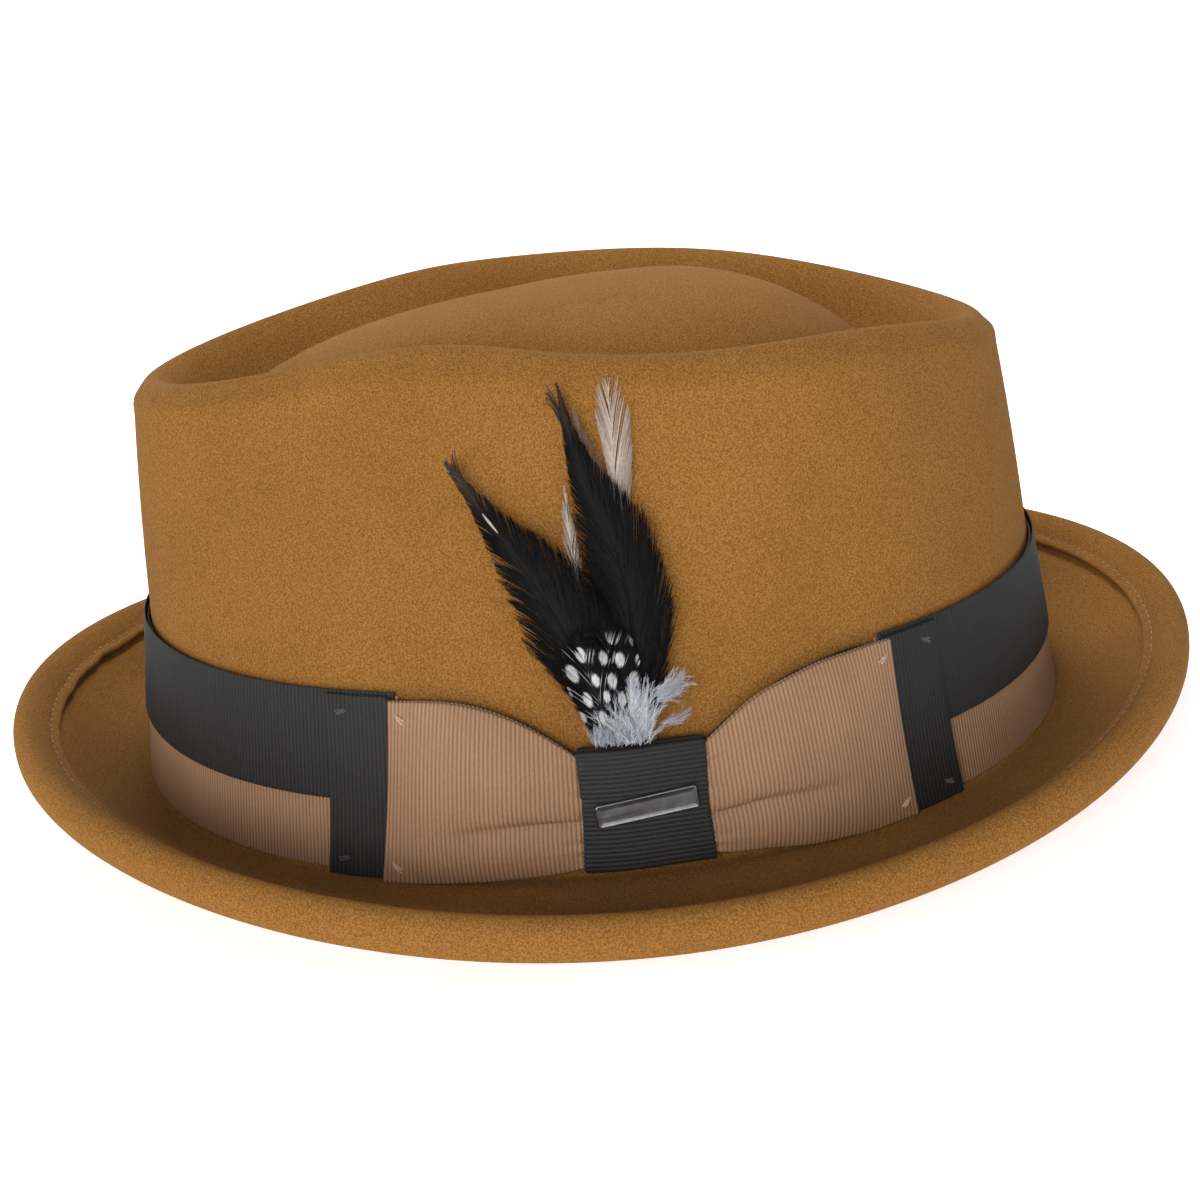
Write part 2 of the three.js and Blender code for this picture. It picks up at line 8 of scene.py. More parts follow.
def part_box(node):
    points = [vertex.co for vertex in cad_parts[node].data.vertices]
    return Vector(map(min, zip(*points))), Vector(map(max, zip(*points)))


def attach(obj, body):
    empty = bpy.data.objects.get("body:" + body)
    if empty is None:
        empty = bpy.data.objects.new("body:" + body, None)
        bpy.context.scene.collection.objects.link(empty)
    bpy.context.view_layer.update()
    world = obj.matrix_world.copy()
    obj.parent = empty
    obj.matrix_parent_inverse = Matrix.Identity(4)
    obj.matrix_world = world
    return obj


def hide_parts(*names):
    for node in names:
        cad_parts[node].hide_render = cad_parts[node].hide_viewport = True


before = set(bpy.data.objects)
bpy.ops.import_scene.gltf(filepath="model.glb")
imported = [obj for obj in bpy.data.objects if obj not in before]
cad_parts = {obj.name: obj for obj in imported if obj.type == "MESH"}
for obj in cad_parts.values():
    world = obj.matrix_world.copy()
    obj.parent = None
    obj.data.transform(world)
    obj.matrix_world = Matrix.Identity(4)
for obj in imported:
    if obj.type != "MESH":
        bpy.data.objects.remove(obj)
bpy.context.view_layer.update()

# ---- sizes, in millimetres ----------------------------------------------------------------------
# Wearer's front is -Y, the bow's side is +X. An angle runs from the front towards the bow's side.
MM = 0.001
TURN = 2 * math.pi
rng = np.random.default_rng(7)


def corners(node):
    """Lowest and highest corner of a CAD node, in millimetres."""
    low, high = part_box(node)
    return np.array(low) / MM, np.array(high) / MM


felt_low, felt_high = corners("felt_body")
sweat_low, sweat_high = corners("sweatband")
dark_low, dark_high = corners("hatband_dark")

FELT = 2.2             # felt thickness
GAP = 0.3              # clearance between two pieces that lie on each other
RIBBON = 0.45          # room that one ribbon takes
LEATHER = 1.0
LINING = 0.5
ROLL = 4.5             # half the thickness of the brim's rolled edge
LINING_OFF = FELT + 0.7
SWEAT_OFF = LINING_OFF + LINING + 1.2
HEAD_LENGTH = sweat_high[1] - sweat_low[1] + 2 * SWEAT_OFF
HEAD_WIDTH = sweat_high[0] - sweat_low[0] + 2 * SWEAT_OFF
BRIM_FRONT = (felt_high[1] - felt_low[1] - HEAD_LENGTH) / 2 - ROLL
BRIM_SIDE = (felt_high[0] - felt_low[0] - HEAD_WIDTH) / 2 - ROLL
BRIM_RISE_SIDE = 6.5
BRIM_RISE_ENDS = 17.2
CROWN_SIDE = 97.5
CROWN_FRONT = 89.7
CROWN_BACK = 86.8
RIM_INSET_LENGTH = 19.1
RIM_INSET_WIDTH = 22.9
TEAR_SHIFT = -3.5
TEAR_TAPER = 5.6
TEAR_CORNER = 5.4
BAND_HEIGHT = dark_high[2] - FELT - 0.8 - GAP - 0.06
BAND_TAPER = 9.8
DARK_SHARE = 0.6
KNOT_WIDTH = 22.8
KNOT_BOTTOM = 2.0
KNOT_TOP = 24.6
KNOT_ANGLE = math.radians(87)
WING_FRONT = 47.6
WING_BACK = 52.3
UNDER_EXTRA = 13.2
SWEAT_BOTTOM = 1.6
SWEAT_SEAM = 5.8       # height of the sweatband's stitch row
SWEAT_TOP = sweat_high[2]


# ---- plan curves and levels, the same as the CAD's ----------------------------------------------
def mix(a, b, t):
    return a + (b - a) * t


def ease(t):
    t = np.clip(t, 0, 1)
    return t * t * (3 - 2 * t)


def oval(length, width, front, taper, corner, a):
    """Radius of an oval by its length and width; the other terms turn it into a teardrop."""
    mean = (length + width) / 4 - corner
    wide = mean + front * np.cos(a) + (length - width) / 4 * np.cos(2 * a)
    return wide + taper * np.cos(3 * a) + corner * np.cos(4 * a)


def level(front, side, back, taper, corner, a):
    """Height given at the front, the side and the back, smooth between them."""
    ends = (front + back) / 2
    mean = (ends + side) / 2 - corner
    wave = mean + ((front - back) / 2 - taper) * np.cos(a) + (ends - side) / 2 * np.cos(2 * a)
    return wave + taper * np.cos(3 * a) + corner * np.cos(4 * a)


def base_radius(a):
    return oval(HEAD_LENGTH, HEAD_WIDTH, 0, 0.6, 0, a)


def band_top_radius(a):
    return oval(HEAD_LENGTH - BAND_TAPER, HEAD_WIDTH - BAND_TAPER, 0.5, 0.45, 0, a)


def rim_radius(a):
    length = HEAD_LENGTH - RIM_INSET_LENGTH
    return oval(length, HEAD_WIDTH - RIM_INSET_WIDTH, TEAR_SHIFT, TEAR_TAPER, TEAR_CORNER, a)


def roll_radius(a):
    return oval(HEAD_LENGTH + 2 * BRIM_FRONT, HEAD_WIDTH + 2 * BRIM_SIDE, 0, 0, 0.3, a)


def rim_level(a):
    return level(CROWN_FRONT, CROWN_SIDE, CROWN_BACK, -0.6, -1.6, a)


def roll_level(a):
    return level(BRIM_RISE_ENDS, BRIM_RISE_SIDE, BRIM_RISE_ENDS, 0, 0, a)


def brim_top(a):
    return level(FELT + 0.4, FELT, FELT + 0.8, 0, 0, a)


def band_bottom(a):
    return brim_top(a) + GAP + 0.06


def wall_radius(a, z):
    """Outside radius of the felt wall at a height."""
    z0 = band_bottom(a)
    z1 = z0 + BAND_HEIGHT
    low = mix(base_radius(a), band_top_radius(a), np.maximum(z - z0, 0) / BAND_HEIGHT)
    t = np.clip((z - z1) / (rim_level(a) - z1), 0, 1)
    high = mix(band_top_radius(a), rim_radius(a), t) + 2 * t * (1 - t)
    return np.where(z <= z1, low, high)


def place(a, r, z):
    a, r, z = np.broadcast_arrays(a, r, z)
    return np.stack([r * np.sin(a), -r * np.cos(a), z], -1)


def facing(a):
    """Direction straight out of the hat at an angle."""
    return place(a, 1.0, 0.0)


def once_round(count):
    return np.arange(count) / count * TURN


def run_along(line):
    """Distance along a line of points, from 0."""
    return np.concatenate([[0], np.cumsum(np.linalg.norm(np.diff(line, axis=0), axis=1))])


# Distances along the wall are measured from the knot's middle, positive towards the back.
steps = np.linspace(0, TURN, 2881)
walk = run_along(place(steps, wall_radius(steps, band_bottom(steps) + BAND_HEIGHT / 2) + 1.5, 0))
GIRTH = walk[-1]
KNOT_WALK = np.interp(KNOT_ANGLE, steps, walk)


def angle_at(s):
    s = np.asarray(s, float) + KNOT_WALK
    return np.interp(s % GIRTH, walk, steps)


def on_wall(s, h, off):
    """Point by distance along the wall, height above the band's lower edge and distance off it."""
    a = angle_at(s)
    z = band_bottom(a) + h
    return place(a, wall_radius(a, z) + off, z)


# ---- meshes -------------------------------------------------------------------------------------
def flow(points, per):
    """Smooth line through points (lines, points, axes), with per steps between two points."""
    gap = np.linalg.norm(np.diff(points, axis=1), axis=2)[:, :, None]
    slope = np.diff(points, axis=1) / gap
    middle = (slope[:, :-1] * gap[:, 1:] + slope[:, 1:] * gap[:, :-1]) / (gap[:, :-1] + gap[:, 1:])
    slopes = np.concatenate([slope[:, :1], middle, slope[:, -1:]], 1)
    rows = []
    for t in np.arange(per) / per:
        curve = (2 * t**3 - 3 * t**2 + 1) * points[:, :-1] + (3 * t**2 - 2 * t**3) * points[:, 1:]
        curve = curve + (t**3 - 2 * t**2 + t) * gap * slopes[:, :-1]
        rows.append(curve + (t**3 - t**2) * gap * slopes[:, 1:])
    dense = np.stack(rows, 2).reshape(len(points), -1, points.shape[2])
    return np.concatenate([dense, points[:, -1:]], 1)


def smooth_line(points, per):
    """Dense smooth line through some points, and the run along it."""
    dense = flow(np.array(points, float)[None], per)[0]
    return dense, run_along(dense)


def wander(x, waves, seed):
    """Smooth random wave of about -1 to 1, from a few sines; waves is the range of their counts."""
    draw = np.random.default_rng(seed)
    counts = draw.integers(waves[0], waves[1] + 1, 6)
    phases = draw.uniform(0, TURN, 6)
    return sum(np.sin(x * n + p) for n, p in zip(counts, phases)) / 3


def grid_faces(nu, nv, closed=False):
    """Quads of a grid of nu by nv points, u first; closed joins its last column to its first."""
    i = np.arange(nu if closed else nu - 1)[:, None]
    j = np.arange(nv - 1)[None, :]
    after = (i + 1) % nu
    return np.stack([i * nv + j, after * nv + j, after * nv + j + 1, i * nv + j + 1], -1).reshape(-1, 4)


def volume_sign(points, faces):
    total = 0.0
    for quads in faces:
        a = points[quads[:, 0]]
        for k in range(1, quads.shape[1] - 1):
            total += (a * np.cross(points[quads[:, k]], points[quads[:, k + 1]])).sum()
    return 1 if total >= 0 else -1


def add_piece(name, points, faces, slot, node, body="hat", uv=None, **tones):
    """Makes a mesh piece from points in millimetres, riding on a body and standing for a node."""
    points = points.reshape(-1, 3)
    if volume_sign(points, faces) < 0:
        faces = [f[:, ::-1] for f in faces]
    loops = np.concatenate([f.ravel() for f in faces]).astype(np.int32)
    sizes = np.concatenate([np.full(len(f), f.shape[1]) for f in faces])
    starts = np.concatenate([[0], np.cumsum(sizes)[:-1]]).astype(np.int32)
    mesh = bpy.data.meshes.new(name)
    mesh.vertices.add(len(points))
    mesh.vertices.foreach_set("co", (points * MM).astype(np.float32).ravel())
    mesh.loops.add(len(loops))
    mesh.loops.foreach_set("vertex_index", loops)
    mesh.polygons.add(len(starts))
    mesh.polygons.foreach_set("loop_start", starts)
    mesh.polygons.foreach_set("use_smooth", np.ones(len(starts), bool))
    mesh.update(calc_edges=True)
    if uv is not None:
        lay = np.asarray(uv).reshape(-1, 2)[loops] * MM
        mesh.uv_layers.new(name="Lay").uv.foreach_set("vector", lay.astype(np.float32).ravel())
    for key, values in tones.items():
        made = mesh.attributes.new(key, "FLOAT", "POINT")
        made.data.foreach_set("value", values.astype(np.float32).ravel())
    mesh.materials.append(LOOKS[slot])
    piece = bpy.data.objects.new(name, mesh)
    bpy.context.scene.collection.objects.link(piece)
    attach(piece, body)
    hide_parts(node)
    return piece


def shell(outer, inner, closed=False):
    """Closed body between two point grids of the same size: its points and faces."""
    nu, nv = outer.shape[:2]
    count = nu * nv
    front = grid_faces(nu, nv, closed)
    ids = np.arange(count).reshape(nu, nv)
    rims = []
    sides = [ids[:, 0], ids[::-1, -1]]
    if closed:
        sides = [np.append(line, line[0]) for line in sides]
    else:
        sides += [ids[0, ::-1], ids[-1]]
    for line in sides:
        rims.append(np.stack([line[:-1], line[:-1] + count, line[1:] + count, line[1:]], 1))
    points = np.concatenate([outer.reshape(-1, 3), inner.reshape(-1, 3)])
    return points, [np.concatenate([front, front[:, ::-1] + count, *rims])]


def unit(v):
    return v / np.maximum(np.linalg.norm(v, axis=-1, keepdims=True), 1e-9)


def grid_normals(grid):
    return unit(np.cross(np.gradient(grid, axis=0), np.gradient(grid, axis=1)))


def strands(paths, wide, thick, up, sides=3):
    """Closed thin tubes along paths (n, k, 3), with widths (n, k) and flat faces turned to up."""
    n, k = paths.shape[:2]
    ahead = unit(np.gradient(paths, axis=1))
    across = unit(np.cross(ahead, up))
    rise = np.cross(across, ahead)
    turn = np.arange(sides) / sides * TURN + (math.pi / 2 if sides == 3 else math.pi / 4)
    ring = (across[:, :, None] * (wide[:, :, None, None] * np.cos(turn)[None, None, :, None])
            + rise[:, :, None] * (thick[:, :, None, None] * np.sin(turn)[None, None, :, None]))
    points = (paths[:, :, None] + ring).reshape(-1, 3)
    ids = np.arange(n * k * sides).reshape(n, k, sides)
    after = np.roll(ids, -1, 2)
    walls = np.stack([ids[:, :-1], after[:, :-1], after[:, 1:], ids[:, 1:]], -1).reshape(-1, 4)
    caps = np.concatenate([ids[:, 0, ::-1], ids[:, -1]])
    return points, [walls, caps]


# ---- materials ----------------------------------------------------------------------------------
def colour(r, g, b):
    """Linear colour from 0-255 screen values."""
    line = [c / 255 / 12.92 if c <= 10 else ((c / 255 + 0.055) / 1.055) ** 2.4 for c in (r, g, b)]
    return (*line, 1.0)


def add_node(tree, kind, settings=None, **inputs):
    made = tree.nodes.new(kind)
    for key, value in (settings or {}).items():
        setattr(made, key, value)
    for key, value in inputs.items():
        name = key.replace("_", " ")
        socket = made.inputs[int(key[1:])] if key[0] == "i" and key[1:].isdigit() else made.inputs[name]
        if isinstance(value, bpy.types.NodeSocket):
            tree.links.new(value, socket)
        else:
            socket.default_value = value
    return made


def new_material(name, **sockets):
    material = bpy.data.materials.new(name)
    material.use_nodes = True
    tree = material.node_tree
    shader = tree.nodes["Principled BSDF"]
    for key, value in sockets.items():
        shader.inputs[key.replace("_", " ")].default_value = value
    return material, tree, shader


def math_node(tree, operation, a, b=0.0, clamp=False):
    made = add_node(tree, "ShaderNodeMath", {"operation": operation, "use_clamp": clamp}, i0=a, i1=b)
    return made.outputs[0]


def noise(tree, at, scale, detail=2.0):
    return add_node(tree, "ShaderNodeTexNoise", Vector=at, Scale=scale, Detail=detail).outputs["Fac"]


def blended(tree, share, a, b, how="MIX"):
    made = add_node(tree, "ShaderNodeMix", {"data_type": "RGBA", "blend_type": how}, i0=share, i6=a, i7=b)
    return made.outputs[2]


def spread(tree, value, low, high, to_low=0.0, to_high=1.0):
    made = add_node(tree, "ShaderNodeMapRange", None, i0=value, i1=low, i2=high, i3=to_low, i4=to_high)
    return made.outputs[0]


def bumped(tree, shader, height, strength, distance, before=None):
    made = add_node(tree, "ShaderNodeBump", Strength=strength, Distance=distance, Height=height)
    if before is not None:
        tree.links.new(before, made.inputs["Normal"])
    tree.links.new(made.outputs[0], shader.inputs["Normal"])
    return made.outputs[0]


def place_of(tree, kind="Object"):
    return add_node(tree, "ShaderNodeTexCoord").outputs[kind]


def paint(tree, shader, share, a, b, how="MIX"):
    """Feeds a blend of two colours to the shader's base colour."""
    tree.links.new(blended(tree, share, a, b, how), shader.inputs["Base Color"])


def felt_material():
    """Short-napped wool felt: fine ochre speckle, faint clouds, a soft nap that catches light."""
    material, tree, shader = new_material("felt_wool", Roughness=0.95, Sheen_Weight=0.05, Sheen_Roughness=0.6)
    shader.inputs["Specular IOR Level"].default_value = 0.04
    shader.inputs["Sheen Tint"].default_value = colour(232, 190, 140)
    at = place_of(tree)
    fine = spread(tree, noise(tree, at, 2800, 3), 0.36, 0.64)
    grain = blended(tree, fine, colour(117, 76, 31), colour(156, 109, 54))
    flecks = spread(tree, noise(tree, at, 5200, 1), 0.6, 0.74, 0, 0.3)
    grain = blended(tree, flecks, grain, colour(172, 128, 74))
    cloud = spread(tree, noise(tree, at, 45, 3), 0.3, 0.7, 0.93, 1.05)
    paint(tree, shader, 1.0, grain, cloud, "MULTIPLY")
    first = bumped(tree, shader, noise(tree, at, 3000, 3), 0.4, 0.00035)
    bumped(tree, shader, noise(tree, at, 900, 2), 0.16, 0.0005, first)
    return material


WARP_STEP = 0.00034    # distance between a ribbon's warp threads, in metres


def ribbon_material(name, ridge, groove_shade, pitch, sheen):
    """Grosgrain: ribs across the ribbon, fine warp threads along it, a little mottled wear; painted shade in
    the grooves between the ribs and a painted highlight on the ribs.
    """
    material, tree, shader = new_material(name, Roughness=0.62, Sheen_Weight=sheen, Sheen_Roughness=0.4)
    shader.inputs["Specular IOR Level"].default_value = 0.3
    lay = place_of(tree, "UV")
    parts = add_node(tree, "ShaderNodeSeparateXYZ", None, i0=lay).outputs
    rib = math_node(tree, "SINE", math_node(tree, "MULTIPLY", parts[0], math.pi / (pitch * MM)))
    rib = math_node(tree, "ABSOLUTE", rib)
    warp = math_node(tree, "SINE", math_node(tree, "MULTIPLY", parts[1], TURN / WARP_STEP))
    yarn = noise(tree, lay, 1400, 2)
    # Rib tone: painted highlight on each rib, painted shade in each groove, plus yarn noise.
    shade = math_node(tree, "MULTIPLY", math_node(tree, "POWER", rib, 0.7), 0.8)
    shade = math_node(tree, "ADD", shade, math_node(tree, "MULTIPLY", yarn, 0.3))
    cloth = blended(tree, math_node(tree, "ADD", shade, 0.0, True), groove_shade, ridge)
    wear = spread(tree, noise(tree, lay, 70, 3), 0.3, 0.7, 0.92, 1.06)
    paint(tree, shader, 1.0, cloth, wear, "MULTIPLY")
    height = math_node(tree, "ADD", math_node(tree, "MULTIPLY", warp, 0.35), yarn)
    bumped(tree, shader, height, 0.35, 0.00012)
    return material


def thread_material(name, dark, light):
    """Sewing thread with a fine twist."""
    material, tree, shader = new_material(name, Roughness=0.6, Sheen_Weight=0.3)
    at = place_of(tree)
    tone = spread(tree, noise(tree, at, 2500, 2), 0.35, 0.65)
    paint(tree, shader, tone, dark, light)
    bumped(tree, shader, noise(tree, at, 4000, 1), 0.4, 0.0001)
    return material


def leather_material():
    """Dark brown sweatband leather: pebbled grain, soft polish, darker pores."""
    material, tree, shader = new_material("sweatband_leather", Coat_Weight=0.08, Coat_Roughness=0.4)
    at = place_of(tree)
    cells = add_node(tree, "ShaderNodeTexVoronoi", {"feature": "DISTANCE_TO_EDGE"}, Vector=at, Scale=900.0)
    crease = spread(tree, cells.outputs["Distance"], 0.0, 0.12)
    patch = spread(tree, noise(tree, at, 60, 4), 0.3, 0.7)
    hide = blended(tree, patch, colour(66, 42, 27), colour(92, 61, 40))
    paint(tree, shader, crease, colour(40, 25, 16), hide)
    tree.links.new(spread(tree, noise(tree, at, 200, 3), 0.3, 0.7, 0.42, 0.6), shader.inputs["Roughness"])
    first = bumped(tree, shader, crease, 0.3, 0.0002)
    bumped(tree, shader, noise(tree, at, 150, 3), 0.2, 0.0006, first)
    return material


def satin_material(name, dark, light):
    """Woven satin lining: fine weave, long soft highlights, faint creases."""
    material, tree, shader = new_material(name, Anisotropic=0.5, Sheen_Weight=0.15)
    at = place_of(tree)
    weave = noise(tree, at, 3000, 1)
    tone = spread(tree, noise(tree, at, 90, 3), 0.3, 0.7)
    paint(tree, shader, tone, dark, light)
    tree.links.new(spread(tree, weave, 0.3, 0.7, 0.3, 0.45), shader.inputs["Roughness"])
    first = bumped(tree, shader, weave, 0.15, 0.0001)
    bumped(tree, shader, noise(tree, at, 120, 3), 0.3, 0.0008, first)
    return material


def metal_material():
    """Gunmetal plate, finely brushed along its length, brighter in small worn patches."""
    material, tree, shader = new_material("plate_gunmetal", Metallic=1.0, Anisotropic=0.4)
    lay = place_of(tree, "UV")
    long = add_node(tree, "ShaderNodeMapping", Vector=lay, Scale=(60.0, 4200.0, 1.0)).outputs[0]
    brush = noise(tree, long, 1.0, 4)
    worn = spread(tree, noise(tree, lay, 500, 3), 0.45, 0.75, 0, 0.5)
    base = blended(tree, brush, colour(98, 98, 100), colour(136, 136, 136))
    paint(tree, shader, worn, base, colour(160, 156, 150))
    tree.links.new(spread(tree, brush, 0.3, 0.7, 0.28, 0.44), shader.inputs["Roughness"])
    bumped(tree, shader, brush, 0.15, 0.00005)
    return material


def plume_material(name, dark, light, rough, sheen=0.1, specular=0.3):
    """Feather barbs: tone runs from dark to light along the piece's own tone attribute."""
    material, tree, shader = new_material(name, Roughness=rough, Sheen_Weight=sheen, Sheen_Roughness=0.35)
    shader.inputs["Specular IOR Level"].default_value = specular
    tone = add_node(tree, "ShaderNodeAttribute", {"attribute_name": "tone"}).outputs["Fac"]
    at = place_of(tree)
    streak = spread(tree, noise(tree, at, 1600, 2), 0.3, 0.7, 0.82, 1.12)
    barb = blended(tree, tone, dark, light)
    paint(tree, shader, 1.0, barb, streak, "MULTIPLY")
    bumped(tree, shader, noise(tree, at, 5000, 1), 0.2, 0.00005)
    return material


def label_material():
    """Cream woven label, blank."""
    material, tree, shader = new_material("label_weave", Roughness=0.8, Sheen_Weight=0.1)
    lay = place_of(tree, "UV")
    weave = add_node(tree, "ShaderNodeTexChecker", Vector=lay, Scale=3200.0).outputs["Fac"]
    tone = math_node(tree, "ADD", math_node(tree, "MULTIPLY", weave, 0.3), noise(tree, lay, 300, 2))
    paint(tree, shader, tone, colour(214, 208, 192), colour(236, 231, 220))
    bumped(tree, shader, weave, 0.3, 0.0001)
    return material


def reed_material():
    """Milky plastic reed."""
    material, tree, shader = new_material("reed_plastic", Transmission_Weight=0.1)
    tone = noise(tree, place_of(tree), 250, 3)
    paint(tree, shader, tone, colour(206, 202, 190), colour(230, 227, 218))
    tree.links.new(spread(tree, tone, 0.3, 0.7, 0.3, 0.5), shader.inputs["Roughness"])
    bumped(tree, shader, tone, 0.1, 0.0003)
    return material


# Distance between a ribbon's ribs.
TAN_PITCH = 0.82
DARK_PITCH = 0.88
# The material of each slot.
LOOKS = {
    "felt": felt_material(),
    # For the ribbons and the tape, the first colour is a painted highlight on the ribs and the second is
    # painted shade in the grooves.
    "ribbon_tan": ribbon_material("grosgrain_tan", colour(166, 127, 93), colour(92, 65, 46), TAN_PITCH, 0.04),
    "ribbon_dark": ribbon_material("grosgrain_dark", colour(43, 41, 39), colour(9, 8, 8), DARK_PITCH, 0.02),
    "felt_thread": thread_material("thread_ochre", colour(104, 68, 30), colour(150, 105, 52)),
    "thread_tan": thread_material("thread_tan_twist", colour(158, 122, 94), colour(204, 168, 136)),
    "thread_dark": thread_material("thread_black", colour(34, 32, 31), colour(72, 68, 65)),
    "leather": leather_material(),
    "lining": satin_material("lining_satin", colour(92, 62, 32), colour(128, 90, 50)),
    "piping": thread_material("piping_cord", colour(62, 42, 24), colour(96, 68, 40)),
    "tape": ribbon_material("tape_grosgrain", colour(52, 46, 42), colour(26, 23, 21), DARK_PITCH, 0.05),
    "label": label_material(),
    "reed": reed_material(),
    "plate": metal_material(),
    "quill": plume_material("quill_horn", colour(60, 52, 44), colour(170, 156, 134), 0.4),
    "feather_white": plume_material("plume_white", colour(150, 132, 116), colour(196, 180, 164), 0.6),
    "feather_grey": plume_material("plume_grey", colour(44, 35, 28), colour(122, 98, 76), 0.55),
    "feather_black": plume_material("plume_black", colour(9, 9, 10), colour(78, 60, 46), 0.55, 0.0, 0.12),
    "feather_spotted": plume_material("plume_spotted", colour(9, 9, 10), colour(202, 200, 198), 0.6,
                                      0.0, 0.12),
    "feather_down": plume_material("plume_down", colour(120, 124, 134), colour(244, 246, 250), 0.8, 0.2),
}


# ---- felt body ----------------------------------------------------------------------------------
COLUMNS = 384
GUTTER = 18.0          # the dented ring in the crown's top, in from the rim
GUTTER_DEPTH = 12.0
ISLAND_INSET = 27.0    # edge of the raised teardrop inside it
CREST = 21.0           # how far behind the middle the teardrop is highest
CREST_RISE = 2.9
SHOULDER = 5.0         # how far the teardrop's edge drops


def island_height(x, y):
    """Raised teardrop in the crown's top: it falls away from its crest on all sides."""
    back = y - CREST
    front_fall = 10.4 * (back / (HEAD_LENGTH / 2 - 9)) ** 2
    back_fall = 19 * (back / (HEAD_LENGTH / 2 - 53)) ** 2
    side_fall = 6 * (x / (HEAD_WIDTH / 2 - 42)) ** 2
    return CROWN_SIDE + CREST_RISE - np.where(back < 0, front_fall, back_fall) - side_fall


def island_rows(a, shares):
    edge = rim_radius(a) - ISLAND_INSET
    rows = []
    for f in shares:
        x, y, _ = np.moveaxis(place(a, edge * f, 0), -1, 0)
        rows.append(np.stack([edge * f, island_height(x, y) - SHOULDER * f**5], -1))
    return np.stack(rows, 1)


def crown_rows(a):
    """The felt's upper face as (columns, rows, radius and height), from the top's middle down."""
    rim = rim_radius(a)
    top = rim_level(a)
    island = island_rows(a, np.array([0.02, 0.1, 0.2, 0.3, 0.42, 0.55, 0.66, 0.75, 0.82, 0.88, 0.94, 1]))
    floor = top - GUTTER_DEPTH
    ridge = [(rim - 23.5, mix(island[:, -1, 1], floor, 0.62)), (rim - GUTTER, floor),
             (rim - 13.6, top - 9.3), (rim - 10.2, top - 4.8), (rim - 7.4, top - 1.5),
             (rim - 4.8, top), (rim - 2.5, top - 0.6), (rim - 0.8, top - 2.4)]
    z1 = band_bottom(a) + BAND_HEIGHT
    wall = []
    for t in [0.92, 0.85, 0.78, 0.7, 0.6, 0.5, 0.4, 0.3, 0.2, 0.1, 0]:
        z = mix(z1, top, t)
        wall.append((wall_radius(a, z), z))
    for t in [0.75, 0.5, 0.25, 0.08]:
        z = mix(brim_top(a), z1, t)
        wall.append((wall_radius(a, z), z))
    wall.append((base_radius(a) + 0.25, brim_top(a) + 0.35))
    lower = np.stack([np.stack(p, -1) for p in ridge + wall], 1)
    return flow(np.concatenate([island, lower], 1), 3)


# The brim's turned-over edge, from its lip over its top to its underside, round the roll's middle.
ROLL_SHAPE = np.array([
    (-4.0, -2.75), (-3.75, -2.3), (-4.3, -1.8), (-5.0, -1.25), (-5.15, -0.6), (-4.7, 0.0), (-4.0, 0.25),
    (-3.4, 0.35), (-2.9, 0.95), (-2.2, 1.85), (-1.3, 2.75), (0.3, 3.95), (1.7, 4.4), (3.2, 3.9),
    (4.2, 2.4), (4.5, 0.3), (4.2, -1.9), (3.1, -3.6), (1.3, -4.5), (-1.2, -4.8)])
CHANNEL = (-3.4, 0.35)  # where the stitching sinks into the roll
WRINKLE_OUT = 0.32
WRINKLE_UP = 0.22


def roll_wrinkle(a):
    """How much the roll's inner slope puckers, mostly near the front."""
    near = 0.25 + 0.75 * np.exp(-(((a + 0.35 + math.pi) % TURN - math.pi) / 0.5) ** 2)
    return near * (0.6 * wander(a, (40, 95), 3) + 0.6 * wander(a, (14, 30), 4))


def brim_rows(a):
    """The brim's upper face, its rolled edge and its underside as (columns, rows, r and z)."""
    base = base_radius(a)
    r = roll_radius(a)
    z = roll_level(a)
    foot_r = r - 4.7
    foot_z = z - 2.5
    rows = [(base + 1.3, brim_top(a))]
    for u in [0.2, 0.35, 0.5, 0.65, 0.8, 0.92]:
        rows.append((mix(base, foot_r, u), mix(brim_top(a), foot_z, u**1.7)))
    wrinkle = roll_wrinkle(a)
    for dr, dz in ROLL_SHAPE:
        inner = np.clip((1.5 - dr) / 6, 0, 1) * (dz > -2)
        rows.append((r + dr + WRINKLE_OUT * wrinkle * inner, z + dz + WRINKLE_UP * wrinkle * inner))
    flat = base + 3.5
    for u in [0.85, 0.66, 0.5, 0.33, 0.15]:
        rows.append((mix(flat, foot_r, u), (foot_z - FELT) * u**1.7))
    rows.extend([(flat, 0 * a), (base - FELT + 0.4, 0 * a), (base - FELT, 0 * a + 0.4)])
    return flow(np.stack([np.stack(p, -1) for p in rows], 1), 3)


def inner_rows(rows):
    """The crown's face moved in by the felt's thickness."""
    ahead = unit(np.gradient(rows, axis=1))
    return np.stack([rows[:, :, 0] + ahead[:, :, 1] * FELT, rows[:, :, 1] - ahead[:, :, 0] * FELT], -1)


def make_felt():
    a = once_round(COLUMNS)
    crown = crown_rows(a)
    inside = inner_rows(crown)[:, ::2][:, :-2][:, ::-1]
    rows = np.concatenate([crown, brim_rows(a), inside], 1)
    soft = 0.22 * wander(a, (3, 9), 1)[:, None] * np.sin(np.linspace(0, math.pi, rows.shape[1]))[None]
    points = place(a[:, None], rows[:, :, 0] + soft * (rows[:, :, 0] > 30), np.maximum(rows[:, :, 1], 0))
    count = rows.shape[1]
    flat = points.reshape(-1, 3)
    tips = np.array([[0, 0, points[:, 0, 2].mean()], [0, 0, points[:, -1, 2].mean()]])
    ring = np.arange(COLUMNS) * count
    after = np.roll(ring, -1)
    tip = np.full(COLUMNS, len(flat))
    upper = np.stack([tip, after, ring], 1)
    lower = np.stack([tip + 1, ring + count - 1, after + count - 1], 1)
    faces = [grid_faces(COLUMNS, count, True), np.concatenate([upper, lower])]
    add_piece("felt_shell", np.concatenate([flat, tips]), faces, "felt", "felt_body")


